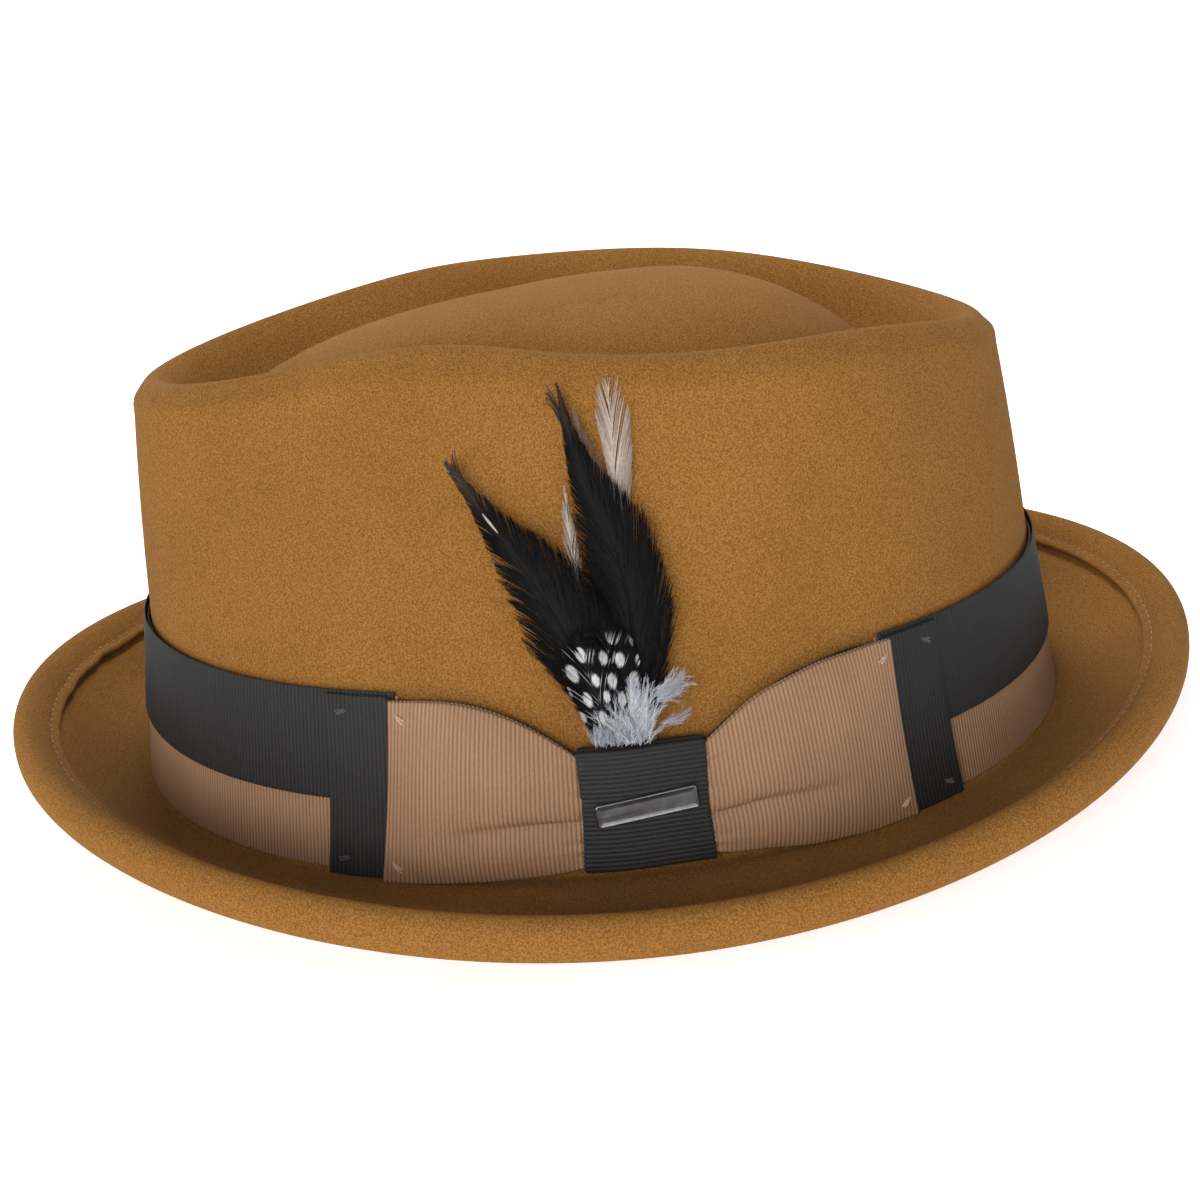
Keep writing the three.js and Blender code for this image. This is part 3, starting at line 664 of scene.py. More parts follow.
def stitches(name, centres, ahead, up, length, width, slot, node, sink=0.35):
    """A row of short sewn stitches: each dives into the cloth at its two ends."""
    t = np.linspace(-1, 1, 7)[None, :, None]
    dip = -sink * t**4
    paths = centres[:, None] + ahead[:, None] * t * length / 2 + up[:, None] * dip
    wide = np.broadcast_to(width / 2 * (1 - 0.35 * t[0, :, 0] ** 2), paths.shape[:2])
    points, faces = strands(paths, wide, wide, np.broadcast_to(up[:, None], paths.shape), 6)
    add_piece(name, points, faces, slot, node)


def make_welt_stitches():
    count = 260
    a = (np.arange(count) + rng.uniform(-0.12, 0.12, count)) / count * TURN
    wrinkle = roll_wrinkle(a) * 0.8
    reach = roll_radius(a) + CHANNEL[0] + WRINKLE_OUT * wrinkle
    centres = place(a, reach, roll_level(a) + CHANNEL[1] + 0.12 + WRINKLE_UP * wrinkle)
    b = a + 0.01
    ahead = unit(place(b, roll_radius(b), roll_level(b)) - place(a, roll_radius(a), roll_level(a)))
    up = unit(np.array([0, 0, 1.0]) - facing(a) * 0.5)
    stitches("brim_edge_stitches", centres, ahead, up, 2.0, 0.34, "felt_thread", "brim_edge_thread")


make_felt()
make_welt_stitches()


# ---- ribbons ------------------------------------------------------------------------------------
def across_steps(width, inner):
    """Positions across a ribbon, close together at its woven edges."""
    edge = np.array([0, 0.12, 0.3, 0.6, 1.1])
    return np.concatenate([edge, np.linspace(1.1, width - 1.1, inner)[1:-1], width - edge[::-1]])


def ribbon(name, lay, length, width, pitch, slot, node,
           inner=9, thick=0.3, rib=0.18, per=5):
    """A woven ribbon: lay(u, v) gives its middle surface at u along it and v across it, in mm.
    Real ribs run across it, and its two edges end in the weft's small turned loops."""
    along = np.linspace(0, length, int(length / pitch * per) + 1)
    across = across_steps(width, inner)
    u, v = np.meshgrid(along, across, indexing="ij")
    ridge = np.abs(np.sin(math.pi * u / pitch)) ** 0.75
    rim = np.minimum(v, width - v)
    loop = 0.16 * (ridge - 0.5) * (1 - ease(rim / 0.5)) * np.where(v < width / 2, -1, 1)
    middle = lay(u, v + loop)
    normal = grid_normals(middle)
    body_share = 0.25 + 0.75 * ease(rim / 0.3)
    half = (thick / 2 + rib * (ridge - 0.5)) * body_share
    points, faces = shell(middle + normal * half[:, :, None], middle - normal * half[:, :, None])
    uv = np.stack([u, v], -1)
    return add_piece(name, points, faces, slot, node, uv=np.stack([uv, uv]))


# How far each layer lies off the wall.
TAN_OFF = GAP
DARK_OFF = TAN_OFF + RIBBON + GAP
UNDER_OFF = DARK_OFF + RIBBON + GAP
WING_OFF = UNDER_OFF + RIBBON + GAP
# The band's two ends stop a little short of the wings' tips, and so are hidden under them.
BAND_END_FRONT = WING_FRONT - 1.5
BAND_END_BACK = WING_BACK - 1.5
BAND_LENGTH = GIRTH - BAND_END_FRONT - BAND_END_BACK


def make_band(name, h0, h1, off, fold, pitch, slot, node, seed):
    start = BAND_END_BACK + fold
    length = BAND_LENGTH - 2 * fold

    def lay(u, v):
        slack = 0.1 * wander(u * TURN / GIRTH, (5, 14), seed)
        return on_wall(start + u, h0 + v + slack * 0.8, off + RIBBON / 2 + 0.05 * slack)

    piece = ribbon(name, lay, length, h1 - h0, pitch, slot, node, 7)


make_band("hatband_tan_ribbon", 0, BAND_HEIGHT - 1, TAN_OFF, 0, TAN_PITCH,
          "ribbon_tan", "hatband_tan", 11)
make_band("hatband_dark_ribbon", BAND_HEIGHT * (1 - DARK_SHARE), BAND_HEIGHT, DARK_OFF, 0.5, DARK_PITCH,
          "ribbon_dark", "hatband_dark", 12)


# ---- bow ----------------------------------------------------------------------------------------
def pinch(t):
    return 1 - (1 - np.clip(t * 1.12, 0, 1)) ** 2.4


def wing_top(t):
    return mix(KNOT_TOP - 1.2, BAND_HEIGHT - 0.8, pinch(t))


def wing_bottom(t):
    return mix(KNOT_BOTTOM + 1, 0, pinch(t))


def wing_puff(t, v, crease_at, seed):
    """Stands a wing off the band: a full upper lobe hangs over a crease, with a flatter one below."""
    puff = 3.0 * np.sin(math.pi * np.clip(t, 0, 1) ** 0.85) ** 0.75
    puff = puff * np.sin(math.pi * np.clip(v, 0, 1) ** 0.9) ** 0.75
    run = np.clip(1 - t / 0.66, 0, 1) ** 0.7
    away = v - crease_at
    valley = np.exp(-((away / np.where(away < 0, 0.1, 0.03)) ** 2))
    brow = 0.7 * np.exp(-(((away - 0.12) / 0.09) ** 2))
    gather = 0.2 * np.exp(-t / 0.09) * (np.sin(v * 41 + seed) + 0.6 * np.sin(v * 67 + 2 * seed))
    return np.maximum(puff + run * (brow - 1.9 * valley) + gather, -0.05)


def loop_path(u, inner, reach, low, radius):
    """Distance out and height off the wall of a folded loop, and whether it is the upper ply."""
    run = reach - radius - inner
    bend = math.pi * radius
    turn = np.clip((u - run) / radius, 0, math.pi)
    s = inner + np.clip(u, 0, run) + radius * np.sin(turn) - np.clip(u - run - bend, 0, None)
    return s, low + radius * (1 - np.cos(turn)), np.clip((u - run) / bend, 0, 1)


def make_wing(name, direction, reach, low, radius, slant, puffed, pitch, slot, node, seed):
    """One side of the bow: a ribbon folded into a loop, puffed out or lying flat under the other."""
    inner = KNOT_WIDTH / 2 - 1.5
    length = 2 * (reach - radius - inner) + math.pi * radius
    tan_reach = reach if puffed else reach - UNDER_EXTRA

    def lay(u, v):
        s, off, upper = loop_path(u, inner, reach, low, radius)
        t = np.clip((s - KNOT_WIDTH / 2) / (tan_reach - KNOT_WIDTH / 2), 0, 1)
        share = v / BAND_HEIGHT
        wave = 0.18 * wander(s * 0.11, (1, 4), seed)
        lift = 0 if puffed else mix(-0.35, 0.35, ease((s - tan_reach + 0.8) / 1.6))
        h = mix(wing_bottom(t), wing_top(t) + lift, share) + wave
        out = s / reach
        s = s + slant * (0.5 - share) * out**3 - 0.5 * out**6 * np.sin(math.pi * share)
        if puffed:
            crease_at = mix(0.46, 0.2, t) if direction < 0 else mix(0.4, 0.3, t)
            off = off + upper * wing_puff(t, share, crease_at, seed)
            hang = np.exp(-(((share - crease_at - 0.02) / 0.045) ** 2)) * np.clip(1 - t / 0.6, 0, 1)
            h = h - 1.1 * upper * hang
        climb = 0.45 * np.clip(1 - t / 0.3, 0, 1)
        return on_wall(direction * s, h, off + climb)

    piece = ribbon(name, lay, length, BAND_HEIGHT, pitch, slot, node,
                   inner=57 if puffed else 9, thick=0.26, rib=0.15)
    return lay, length


def frame_at(lay, u, v):
    """Point of a ribbon's surface, and the directions along it, across it and out of it."""
    def at(du, dv):
        return lay(np.array([[u + du]]), np.array([[v + dv]]))[0, 0]

    along = unit(at(0.3, 0) - at(-0.3, 0))
    across = unit(at(0, 0.3) - at(0, -0.3))
    out = unit(np.cross(along, across))
    here = at(0, 0)
    if (out * here)[:2].sum() < 0:
        out = -out
    return here, along, across, out


def make_tack(name, lay, u, v, slot, node, tilt):
    """A corner tack: two thick stitches side by side, set at a slant."""
    here, along, across, out = frame_at(lay, u, v)
    heading = unit(along * math.cos(tilt) + across * math.sin(tilt))
    beside = np.cross(out, heading)
    shifts = ((-0.22, 0.15), (0.24, -0.1))
    centres = np.array([here + beside * d + heading * e + out * 0.3 for d, e in shifts])
    ways = unit(np.array([heading + beside * 0.08, heading - beside * 0.06]))
    stitches(name, centres, ways, np.broadcast_to(out, (2, 3)), 2.5, 0.5, slot, node, 0.4)


def make_bow():
    tan_low = WING_OFF + 0.18
    dark_low = UNDER_OFF + 0.08
    for end, direction, reach, slant in (("front", -1, WING_FRONT, 2.6), ("back", 1, WING_BACK, 0.6)):
        lay, length = make_wing(f"bow_wing_{end}_ribbon", direction, reach + 0.4, tan_low, 0.36, slant,
                                True, TAN_PITCH, "ribbon_tan", f"bow_wing_{end}",
                                21 + direction)
        under, long = make_wing(f"under_wing_{end}_ribbon", direction, reach + UNDER_EXTRA, dark_low,
                                0.24, 0.5, False, DARK_PITCH, "ribbon_dark",
                                f"under_wing_{end}", 31 + direction)
        for corner, h in (("upper", BAND_HEIGHT - 3.2), ("lower", 3.4)):
            make_tack(f"tan_tack_{end}_{corner}", lay, length / 2 + 3.0, h, "thread_tan",
                      f"tack_wing_{end}_{corner}", 2.5)
            make_tack(f"dark_tack_{end}_{corner}", under, long / 2 + 3.4, h, "thread_dark",
                      f"tack_under_{end}_{corner}", 0.3)


# The knot's wrap, from behind over its top, its face and its foot: off the wall and up it.
KNOT_PATH = [
    (1.85, 7.0), (1.85, 13.0), (1.85, 20.0), (1.95, 23.6), (2.5, 24.75), (3.4, 24.95),
    (4.25, 24.4), (4.62, 22.5), (4.7, 18.5), (4.74, 13.3), (4.7, 8.0), (4.62, 4.1),
    (4.25, 2.2), (3.4, 1.65), (2.5, 1.85), (1.95, 3.0), (1.85, 6.4)]


def make_knot():
    dense, run = smooth_line(KNOT_PATH, 12)
    width = KNOT_WIDTH + 0.3

    def lay(u, v):
        off = np.interp(u, run, dense[:, 0])
        h = np.interp(u, run, dense[:, 1])
        x = v - width / 2
        front = ease((off - 3.2) / 1.3)
        bulge = front * 0.35 * (1 - (x / (width / 2)) ** 2)
        waist = 1 - front * 0.018 * np.cos((h - 13) / 11.5 * math.pi)
        sag = 0.12 * wander(u * 0.12, (1, 5), 5)
        return on_wall(x * waist + 0.15 * sag, h + 0.1 * np.sin(x * 0.3), off + bulge)

    piece = ribbon("bow_knot_ribbon", lay, run[-1], width, DARK_PITCH, "ribbon_dark",
                   "bow_knot", inner=17, thick=0.34, per=6)


def make_plate():
    """A blank bevelled metal plate across the knot, with a low rim round a sunk face."""
    length, height, tilt = 19.2, 4.5, math.radians(6.5)
    sides = 96
    bevel = [(0.0, 0.0), (0.0, 0.45), (0.08, 0.6), (0.2, 0.7),
             (0.3, 0.71), (0.36, 0.68), (0.4, 0.66), (1.2, 0.66)]
    turn = np.linspace(0, TURN, sides + 1)[:-1]
    rings = []
    for inset, rise in bevel:
        reach_x, reach_y = length / 2 - inset, height / 2 - inset
        corner = max(0.55 - inset * 0.5, 0.18)
        cx = np.sign(np.cos(turn)) * (reach_x - corner)
        cy = np.sign(np.sin(turn)) * (reach_y - corner)
        flat = [cx + corner * np.cos(turn), cy + corner * np.sin(turn)]
        rings.append(np.stack([*flat, np.full(sides, rise)], -1))
    local = np.stack(rings, 1)
    x, y, z = np.moveaxis(local, -1, 0)
    along = x * math.cos(tilt) - y * math.sin(tilt)
    upward = x * math.sin(tilt) + y * math.cos(tilt)
    centre = sum(corners("blank_plate")) / 2
    a = math.atan2(centre[0], -centre[1])
    out = unit(place(a, 1.0, 0.08))
    side = unit(np.cross([0, 0, 1.0], out))
    up = np.cross(out, side)
    start = on_wall(0.15, 14.05, 5.32)
    points = start + along[..., None] * side + upward[..., None] * up + z[..., None] * out
    ids = np.arange(sides * len(bevel)).reshape(sides, -1)
    faces = [grid_faces(sides, len(bevel), True), ids[:, 0][None, ::-1], ids[:, -1][None]]
    uv = np.stack([x, y], -1)
    add_piece("blank_plate_metal", points, faces, "plate", "blank_plate", uv=uv)


make_bow()
make_knot()
make_plate()


# ---- feathers -----------------------------------------------------------------------------------
# Feathers are drawn on the wall: along it, up it and off it, in millimetres.
BASE_S = -4.0
BASE_H = 26.1
VANE_SHARES = np.array([0, 0.08, 0.2, 0.4, 0.6, 0.75, 0.88, 0.96, 1.0])


def along_rib(dense, run, position):
    """Points of the rib line and its headings at positions along it."""
    centre = np.stack([np.interp(position, run, dense[:, k]) for k in range(3)], -1)
    heading = np.stack([np.interp(position, run, np.gradient(dense[:, k], run)) for k in range(3)], -1)
    return centre, unit(heading)


def barb_paths(dense, run, side, count, outline, lean, seed, ragged, cup, points):
    """Centre lines of one vane's barbs, each barb's share of the length and its distance from the rib."""
    draw = np.random.default_rng(seed)
    tips = np.sort(draw.uniform(0.05, 1.0, count))
    clump = np.repeat(draw.normal(0, 1, count // 9 + 1), 9)[:count]
    loose = draw.uniform(0, 1, count) < 0.1
    reach = np.interp(tips, VANE_SHARES, outline) * (1 - ragged * np.abs(draw.normal(0, 0.12, count)))
    reach = reach * (1 + ragged * (0.07 * clump + loose * draw.uniform(0, 0.22, count)))
    reach = np.maximum(reach * (1 - ease((tips - 0.9) / 0.08) * draw.uniform(0, 0.95, count)), 0.15)
    slope = lean * (1 - 0.35 * tips) + ragged * (0.03 * clump + draw.normal(0, 0.03, count))
    forward = reach / np.tan(np.maximum(slope, 0.2))
    start = np.clip(tips * run[-1] - forward, 0.3, run[-1] * 0.985)
    w = np.linspace(0, 1, points)[None, :]
    along = start[:, None] + (tips * run[-1] - start)[:, None] * w ** 0.92
    out = reach[:, None] * (0.25 * w + 0.75 * w**1.25)
    out = out * (1 + 0.08 * np.sin(w * math.pi) * ragged * clump[:, None])
    position = np.clip(along, 0, run[-1])
    centre, heading = along_rib(dense, run, position)
    across = unit(np.stack([heading[..., 1], -heading[..., 0], 0 * heading[..., 0]], -1)) * side
    paths = centre + across * out[..., None] + heading * (along - position)[..., None]
    paths[..., 2] += cup * (out / max(outline.max(), 1)) ** 2 + draw.normal(0, 0.07, count)[:, None] * w
    return paths, along / run[-1]


def blade_paths(dense, run, start, tip, seed, points):
    """A split blade of a feather's tip: barbs that leave the rib together and end close to one point."""
    draw = np.random.default_rng(seed)
    count = 16
    centre, heading = along_rib(dense, run, run[-1] * start + draw.uniform(-2.5, 2.5, count))
    tip = np.array(tip) + draw.normal(0, 1, (count, 3)) * (0.3, 1.1, 0.05)
    w = np.linspace(0, 1, points)[None, :, None]
    bow = heading[:, None] * 2.2 * np.sin(w * math.pi)
    return centre[:, None] * (1 - w) + tip[:, None] * w + bow


def to_wall(paths):
    """Wall coordinates to points; off is kept clear of the felt."""
    return on_wall(paths[..., 0], paths[..., 1], np.maximum(paths[..., 2], 0.35))


def outwards(points):
    return unit(points * np.array([1, 1, 0]))


def make_feather(name, node, points, left, right, lean, spacing, slot, tone, seed,
                 ragged=1.0, cup=0.5, barb=0.13, quill=0.42, steps=8, blades=()):
    """A feather: a tapering rib and two vanes of separate barbs. tone(share, place) tints it."""
    dense, run = smooth_line(points, 24)
    count = int(run[-1] / spacing)
    groups, shares = [], []
    for side, outline in ((-1, left), (1, right)):
        paths, share = barb_paths(dense, run, side, count, np.array(outline), lean, seed + side,
                                  ragged, cup, steps)
        groups.append(paths)
        shares.append(share)
    for k, (start, tip) in enumerate(blades):
        paths = blade_paths(dense, run, start, tip, seed + 40 + k, steps)
        groups.append(paths)
        shares.append(np.ones(paths.shape[:2]) * np.linspace(start, 1, steps))
    paths = np.concatenate(groups)
    tones = tone(np.concatenate(shares), paths)
    wide = barb * (1 - 0.75 * np.linspace(0, 1, steps)) * np.ones((len(paths), 1))
    world = to_wall(paths)
    vane_points, vane_faces = strands(world, wide, wide * 0.35, outwards(world))
    rib = dense[None, ::3]
    taper = quill * (1 - 0.88 * np.linspace(0, 1, rib.shape[1]))[None] * 0.5
    rib_world = to_wall(rib)
    rib_points, rib_faces = strands(rib_world, taper, taper * 0.8, outwards(rib_world), 6)
    rib_tones = np.full(len(rib_points), tone(np.array([[0.3]]), rib[:, :1]).mean())
    faces = vane_faces + [f + len(vane_points) for f in rib_faces]
    add_piece(name, np.concatenate([vane_points, rib_points]), faces, slot, node, "feathers",
              tone=np.concatenate([np.repeat(tones.reshape(-1), 3), rib_tones]))


def rising(low, high, start, end, speckle, seed):
    """Tone that rises from low to high between two shares of the feather's length."""
    def tone(share, place_on_wall):
        draw = np.random.default_rng(seed)
        jitter = draw.normal(0, speckle, share.shape[0])[:, None]
        return np.clip(mix(low, high, ease((share - start) / (end - start))) + jitter, 0, 1)
    return tone


SPOT_ACROSS = 3.3
SPOT_ALONG = 4.1


def chance(i, j, salt):
    """Repeatable number from 0 to 1 for a cell of a grid."""
    return np.modf(np.abs(np.sin(i * 12.9898 + j * 78.233 + salt * 37.719)) * 43758.5453)[0]


def spotted(share, place_on_wall):
    """Guinea fowl: staggered white ovals of uneven size on black, and a few white streaks."""
    fan = (place_on_wall[..., 0] - BASE_S) / (place_on_wall[..., 1] - 8) * 30
    height = place_on_wall[..., 1] + 0.25 * fan
    row = np.floor(height / SPOT_ALONG)
    across = fan / SPOT_ACROSS + 0.5 * (row % 2)
    column = np.floor(across)
    x = (across - column - 0.5) * SPOT_ACROSS + 1.1 * (chance(row, column, 1) - 0.5)
    y = (height / SPOT_ALONG - row - 0.5) * SPOT_ALONG + 1.4 * (chance(row, column, 2) - 0.5)
    size = 0.75 + 0.5 * chance(row, column, 3)
    oval_at = (x / (0.74 * size)) ** 2 + (y / (1.3 * size)) ** 2
    spots = np.clip((1.25 - oval_at) * 3, 0, 1)
    draw = np.random.default_rng(331)
    streak = (draw.uniform(0, 1, share.shape[0]) < 0.09)[:, None] * np.clip(1.3 - np.abs(y) / 1.2, 0, 1)
    fade = np.clip((47.5 - place_on_wall[..., 1]) / 3, 0, 1)
    return np.maximum(spots, 0.8 * streak) * fade


def make_feathers():
    """The bundle, from the long white feather at the back to the spotted ones in front."""
    make_feather(
        "plume_white_long", "feather_white_long",
        [(-1.5, 26, 1.0), (-0.8, 45, 1.2), (-0.5, 60, 1.3), (0.0, 74, 1.5), (0.3, 92.6, 1.9)],
        [0.2, 0.3, 0.5, 0.6, 0.8, 1.5, 2.9, 3.2, 2.6], [0.2, 0.4, 0.8, 1.4, 2.2, 3.5, 4.1, 3.7, 2.3],
        0.36, 0.2, "feather_white", rising(0.2, 0.75, 0, 1, 0.14, 101), 201,
        ragged=0.35, cup=0.3, barb=0.11, quill=0.45)
    make_feather(
        "plume_white_short", "feather_white_short",
        [(-5.5, 26, 1.7), (-7.6, 42, 2.0), (-9.4, 58, 2.2), (-10.3, 73.5, 2.2)],
        [0.2, 0.6, 1.0, 1.6, 2.1, 1.9, 1.3, 0.8, 0.4], [0.2, 0.6, 1.0, 1.6, 1.9, 1.5, 1.0, 0.5, 0.3],
        0.26, 0.26, "feather_white", rising(0.1, 0.7, 0, 1, 0.2, 102), 203,
        ragged=1.0, cup=0.4, barb=0.1, quill=0.2)
    make_feather(
        "plume_grey_long", "feather_grey",
        [(-2, 26, 2.4), (-0.8, 45, 2.8), (-1.4, 60, 2.8), (-3.8, 73, 2.8), (-7.6, 88, 2.9)],
        [0.3, 1, 2, 2, 1.5, 0.9, 0.6, 0.4, 0.2], [0.3, 1, 2.5, 3.4, 3.9, 3.0, 1.8, 1.0, 0.5],
        0.3, 0.24, "feather_grey", rising(0.2, 0.8, 0.3, 0.9, 0.25, 103), 205,
        ragged=1.2, cup=0.4, barb=0.09, quill=0.25)
    make_black_feathers()
    for name, node, line, left, right, seed in GUINEA:
        make_feather(name, node, line, left, right, 0.6, 0.07, "feather_spotted", spotted,
                     seed, ragged=0.3, cup=0.4, barb=0.15, quill=0.3, steps=22)


def make_black_feathers():
    make_feather(
        "plume_black_tall", "feather_black_tall",
        [(-1, 26, 3.2), (0.4, 42, 4.0), (0.1, 53, 4.2), (-2.8, 66, 4.0), (-6.5, 75.5, 3.8), (-10.3, 92, 3.7)],
        [0.6, 4.0, 6.0, 8.6, 5.7, 2.8, 1.1, 0.5, 0.2], [0.6, 4.4, 6.2, 8.2, 7.6, 3.8, 1.3, 0.7, 0.3],
        0.42, 0.07, "feather_black", rising(0.0, 0.6, 0.82, 1.0, 0.02, 104), 207,
        ragged=0.8, cup=0.7, barb=0.15, quill=0.4,
        blades=[(0.86, (-12.6, 89.6, 3.7)), (0.86, (-9.3, 89.4, 3.9))])
    make_feather(
        "plume_black_front", "feather_black_front",
        [(-5, 27, 4.0), (-9, 40, 5.0), (-15, 53, 5.0), (-22.5, 63.5, 4.8), (-29, 71, 4.6), (-36, 78, 4.6)],
        [0.6, 3.5, 4.8, 7.2, 5.0, 2.6, 1.1, 1.0, 0.4], [0.6, 4.5, 7.5, 10.0, 7.2, 3.4, 1.5, 1.3, 0.6],
        0.42, 0.07, "feather_black", rising(0.0, 0.75, 0.74, 1.0, 0.02, 105), 211,
        ragged=0.8, cup=0.7, barb=0.15, quill=0.4, blades=[(0.86, (-33.6, 77.6, 4.7))])
    make_feather(
        "plume_black_wisps", "feather_black_tall",
        [(0.5, 27, 4.2), (2.6, 34, 4.8), (5.0, 43, 5.0), (8.4, 53, 4.6)],
        [0.3, 1.6, 2.4, 2.0, 1.2, 0.8, 0.5, 0.3, 0.2], [0.2, 0.5, 0.8, 1.0, 0.8, 0.6, 0.4, 0.2, 0.1],
        0.3, 0.35, "feather_black", rising(0.0, 0.3, 0.5, 1.0, 0.1, 106), 215,
        ragged=1.4, cup=0.4, barb=0.1, quill=0.15)


# The spotted feathers: name, node, rib line, widths of the two vanes, seed.
GUINEA = [
    ("plume_guinea_rear", "feather_guinea_rear",
     [(-3.4, 26, 5.4), (-3.8, 34, 6.0), (-4.3, 42, 6.0), (-4.8, 50, 5.4)],
     [2.4, 3.2, 4.2, 5.2, 5.8, 5.6, 4.4, 3.0, 1.2], [2.2, 3.2, 4.2, 5.0, 5.4, 5.0, 4.0, 2.6, 1.0], 217),
    ("plume_guinea_front", "feather_guinea_front",
     [(-4.8, 26, 6.1), (-6.2, 33, 6.7), (-8.2, 40, 6.6), (-10.2, 48, 5.8)],
     [2.0, 2.8, 3.4, 4.0, 4.3, 4.0, 3.2, 2.2, 0.8], [2.4, 3.2, 4.2, 5.0, 5.2, 4.6, 3.4, 2.2, 0.8], 221),
]


def make_bare_quill_glint():
    """The stretch of the front black feather's quill that shows between its barbs, all light: it is partly
    the real quill and partly a painted glint on it.
    """
    dense, _ = smooth_line([(-27.0, 69.2, 5.35), (-25.4, 67.6, 5.5), (-23.8, 65.8, 5.35)], 24)
    world = to_wall(dense[None, ::4])
    wide = 0.28 * np.sin(np.linspace(0.35, math.pi - 0.35, world.shape[1]))[None]
    points, faces = strands(world, wide, wide * 0.6, outwards(world), 8)
    # Tone 1 throughout: the light quill colour doubles as a painted glint.
    add_piece("plume_front_quill_glint", points, faces, "quill", "feather_black_front", "feathers",
              tone=np.ones(len(points)))


# Each lock of down: roots along, up and off, lean from upright, lengths, strands and tint.
DOWN_LOCKS = [
    ((-8.0, 0.0), (25.8, 27.2), (5.2, 7.0), (-0.15, 0.35), (2.0, 4.4), 150, 0.3),
    ((-4.5, 1.6), (25.8, 29.5), (5.6, 7.2), (0.0, 0.3), (3.0, 6.5), 130, 0.6),
    ((-1.4, 1.8), (29.5, 34.0), (5.4, 6.6), (0.05, 0.2), (2.5, 5.0), 80, 0.75),
    ((2.6, 4.2), (33.0, 35.5), (4.8, 5.8), (1.0, 0.14), (3.5, 6.5), 44, 0.5),
    ((3.2, 4.0), (28.8, 29.4), (4.6, 5.4), (1.45, 0.1), (3.0, 5.5), 9, 0.35),
]


def down_lock(lock, seed):
    """One lock of down: gently curling strands, and the fine hairs along them."""
    along, up, off, lean, lengths, count, tint = lock
    draw = np.random.default_rng(seed)
    root = np.stack([draw.uniform(*along, count), draw.uniform(*up, count), draw.uniform(*off, count)], -1)
    tuft = np.repeat(draw.normal(0, lean[1], count // 12 + 1), 12)[:count]
    swing = lean[0] + tuft + draw.normal(0, 0.12, count)
    length = draw.uniform(*lengths, count)
    w = np.linspace(0, 1, 9)[None]
    curl = np.repeat(draw.normal(0, 0.5, count // 12 + 1), 12)[:count][:, None]
    angle = swing[:, None] + curl * w**1.5 + 0.16 * np.sin(w * 8 + draw.uniform(0, TURN, (count, 1)))
    step = length[:, None] / 8
    s = root[:, :1] + np.cumsum(np.sin(angle) * step, 1)
    h = root[:, 1:2] + np.cumsum(np.cos(angle) * step, 1)
    out = root[:, 2:] + draw.uniform(-0.8, 0.8, (count, 1)) * w + 0.6 * np.sin(w * 3)
    stems = np.stack([s, np.maximum(h, BASE_H), out], -1)
    tone = np.clip(tint + draw.normal(0, 0.18, count)[:, None] + 0 * w, 0, 1)
    return stems, tone, *down_hairs(stems, tone, angle, draw)


def down_hairs(stems, tone, angle, draw):
    """Fine hairs on both sides of each strand of down."""
    count = len(stems)
    w4 = np.linspace(0, 1, 4)[None]
    hairs, hair_tones = [], []
    for k in range(1, 9):
        for side in (-1, 1):
            bend = (angle[:, k] + side * draw.uniform(0.25, 0.7, count))[:, None] - side * 0.35 * w4
            reach = draw.uniform(0.7, 1.9, count) * (1 - 0.3 * k / 8)
            line = np.stack([np.sin(bend), np.cos(bend), 0 * bend], -1) * (reach[:, None] * w4)[..., None]
            line = stems[:, k][:, None] + line
            line[..., 2] += draw.normal(0, 0.25, count)[:, None] * w4
            hairs.append(line)
            hair_tones.append(np.clip(tone[:, k][:, None] + 0.12 + 0 * w4, 0, 1))
    hairs = np.concatenate(hairs)
    hairs[..., 1] = np.maximum(hairs[..., 1], BASE_H - 0.6)
    return hairs, np.concatenate(hair_tones)


def make_down():
    """Downy fluff at the bundle's foot."""
    locks = [down_lock(lock, 301 + k) for k, lock in enumerate(DOWN_LOCKS)]
    stems, stem_tones, hairs, hair_tones = [np.concatenate(part) for part in zip(*locks)]
    stem_world, hair_world = to_wall(stems), to_wall(hairs)
    stem_wide = 0.07 * (1 - 0.6 * np.linspace(0, 1, 9)) * np.ones((len(stems), 1))
    hair_wide = 0.042 * (1 - 0.6 * np.linspace(0, 1, 4)) * np.ones((len(hairs), 1))
    a_points, a_faces = strands(stem_world, stem_wide, stem_wide, outwards(stem_world))
    b_points, b_faces = strands(hair_world, hair_wide, hair_wide, outwards(hair_world))
    tones = np.concatenate([np.repeat(stem_tones.reshape(-1), 3), np.repeat(hair_tones.reshape(-1), 3)])
    faces = a_faces + [f + len(a_points) for f in b_faces]
    points = np.concatenate([a_points, b_points])
    add_piece("plume_down", points, faces, "feather_down", "feather_down", "feathers", tone=tones)


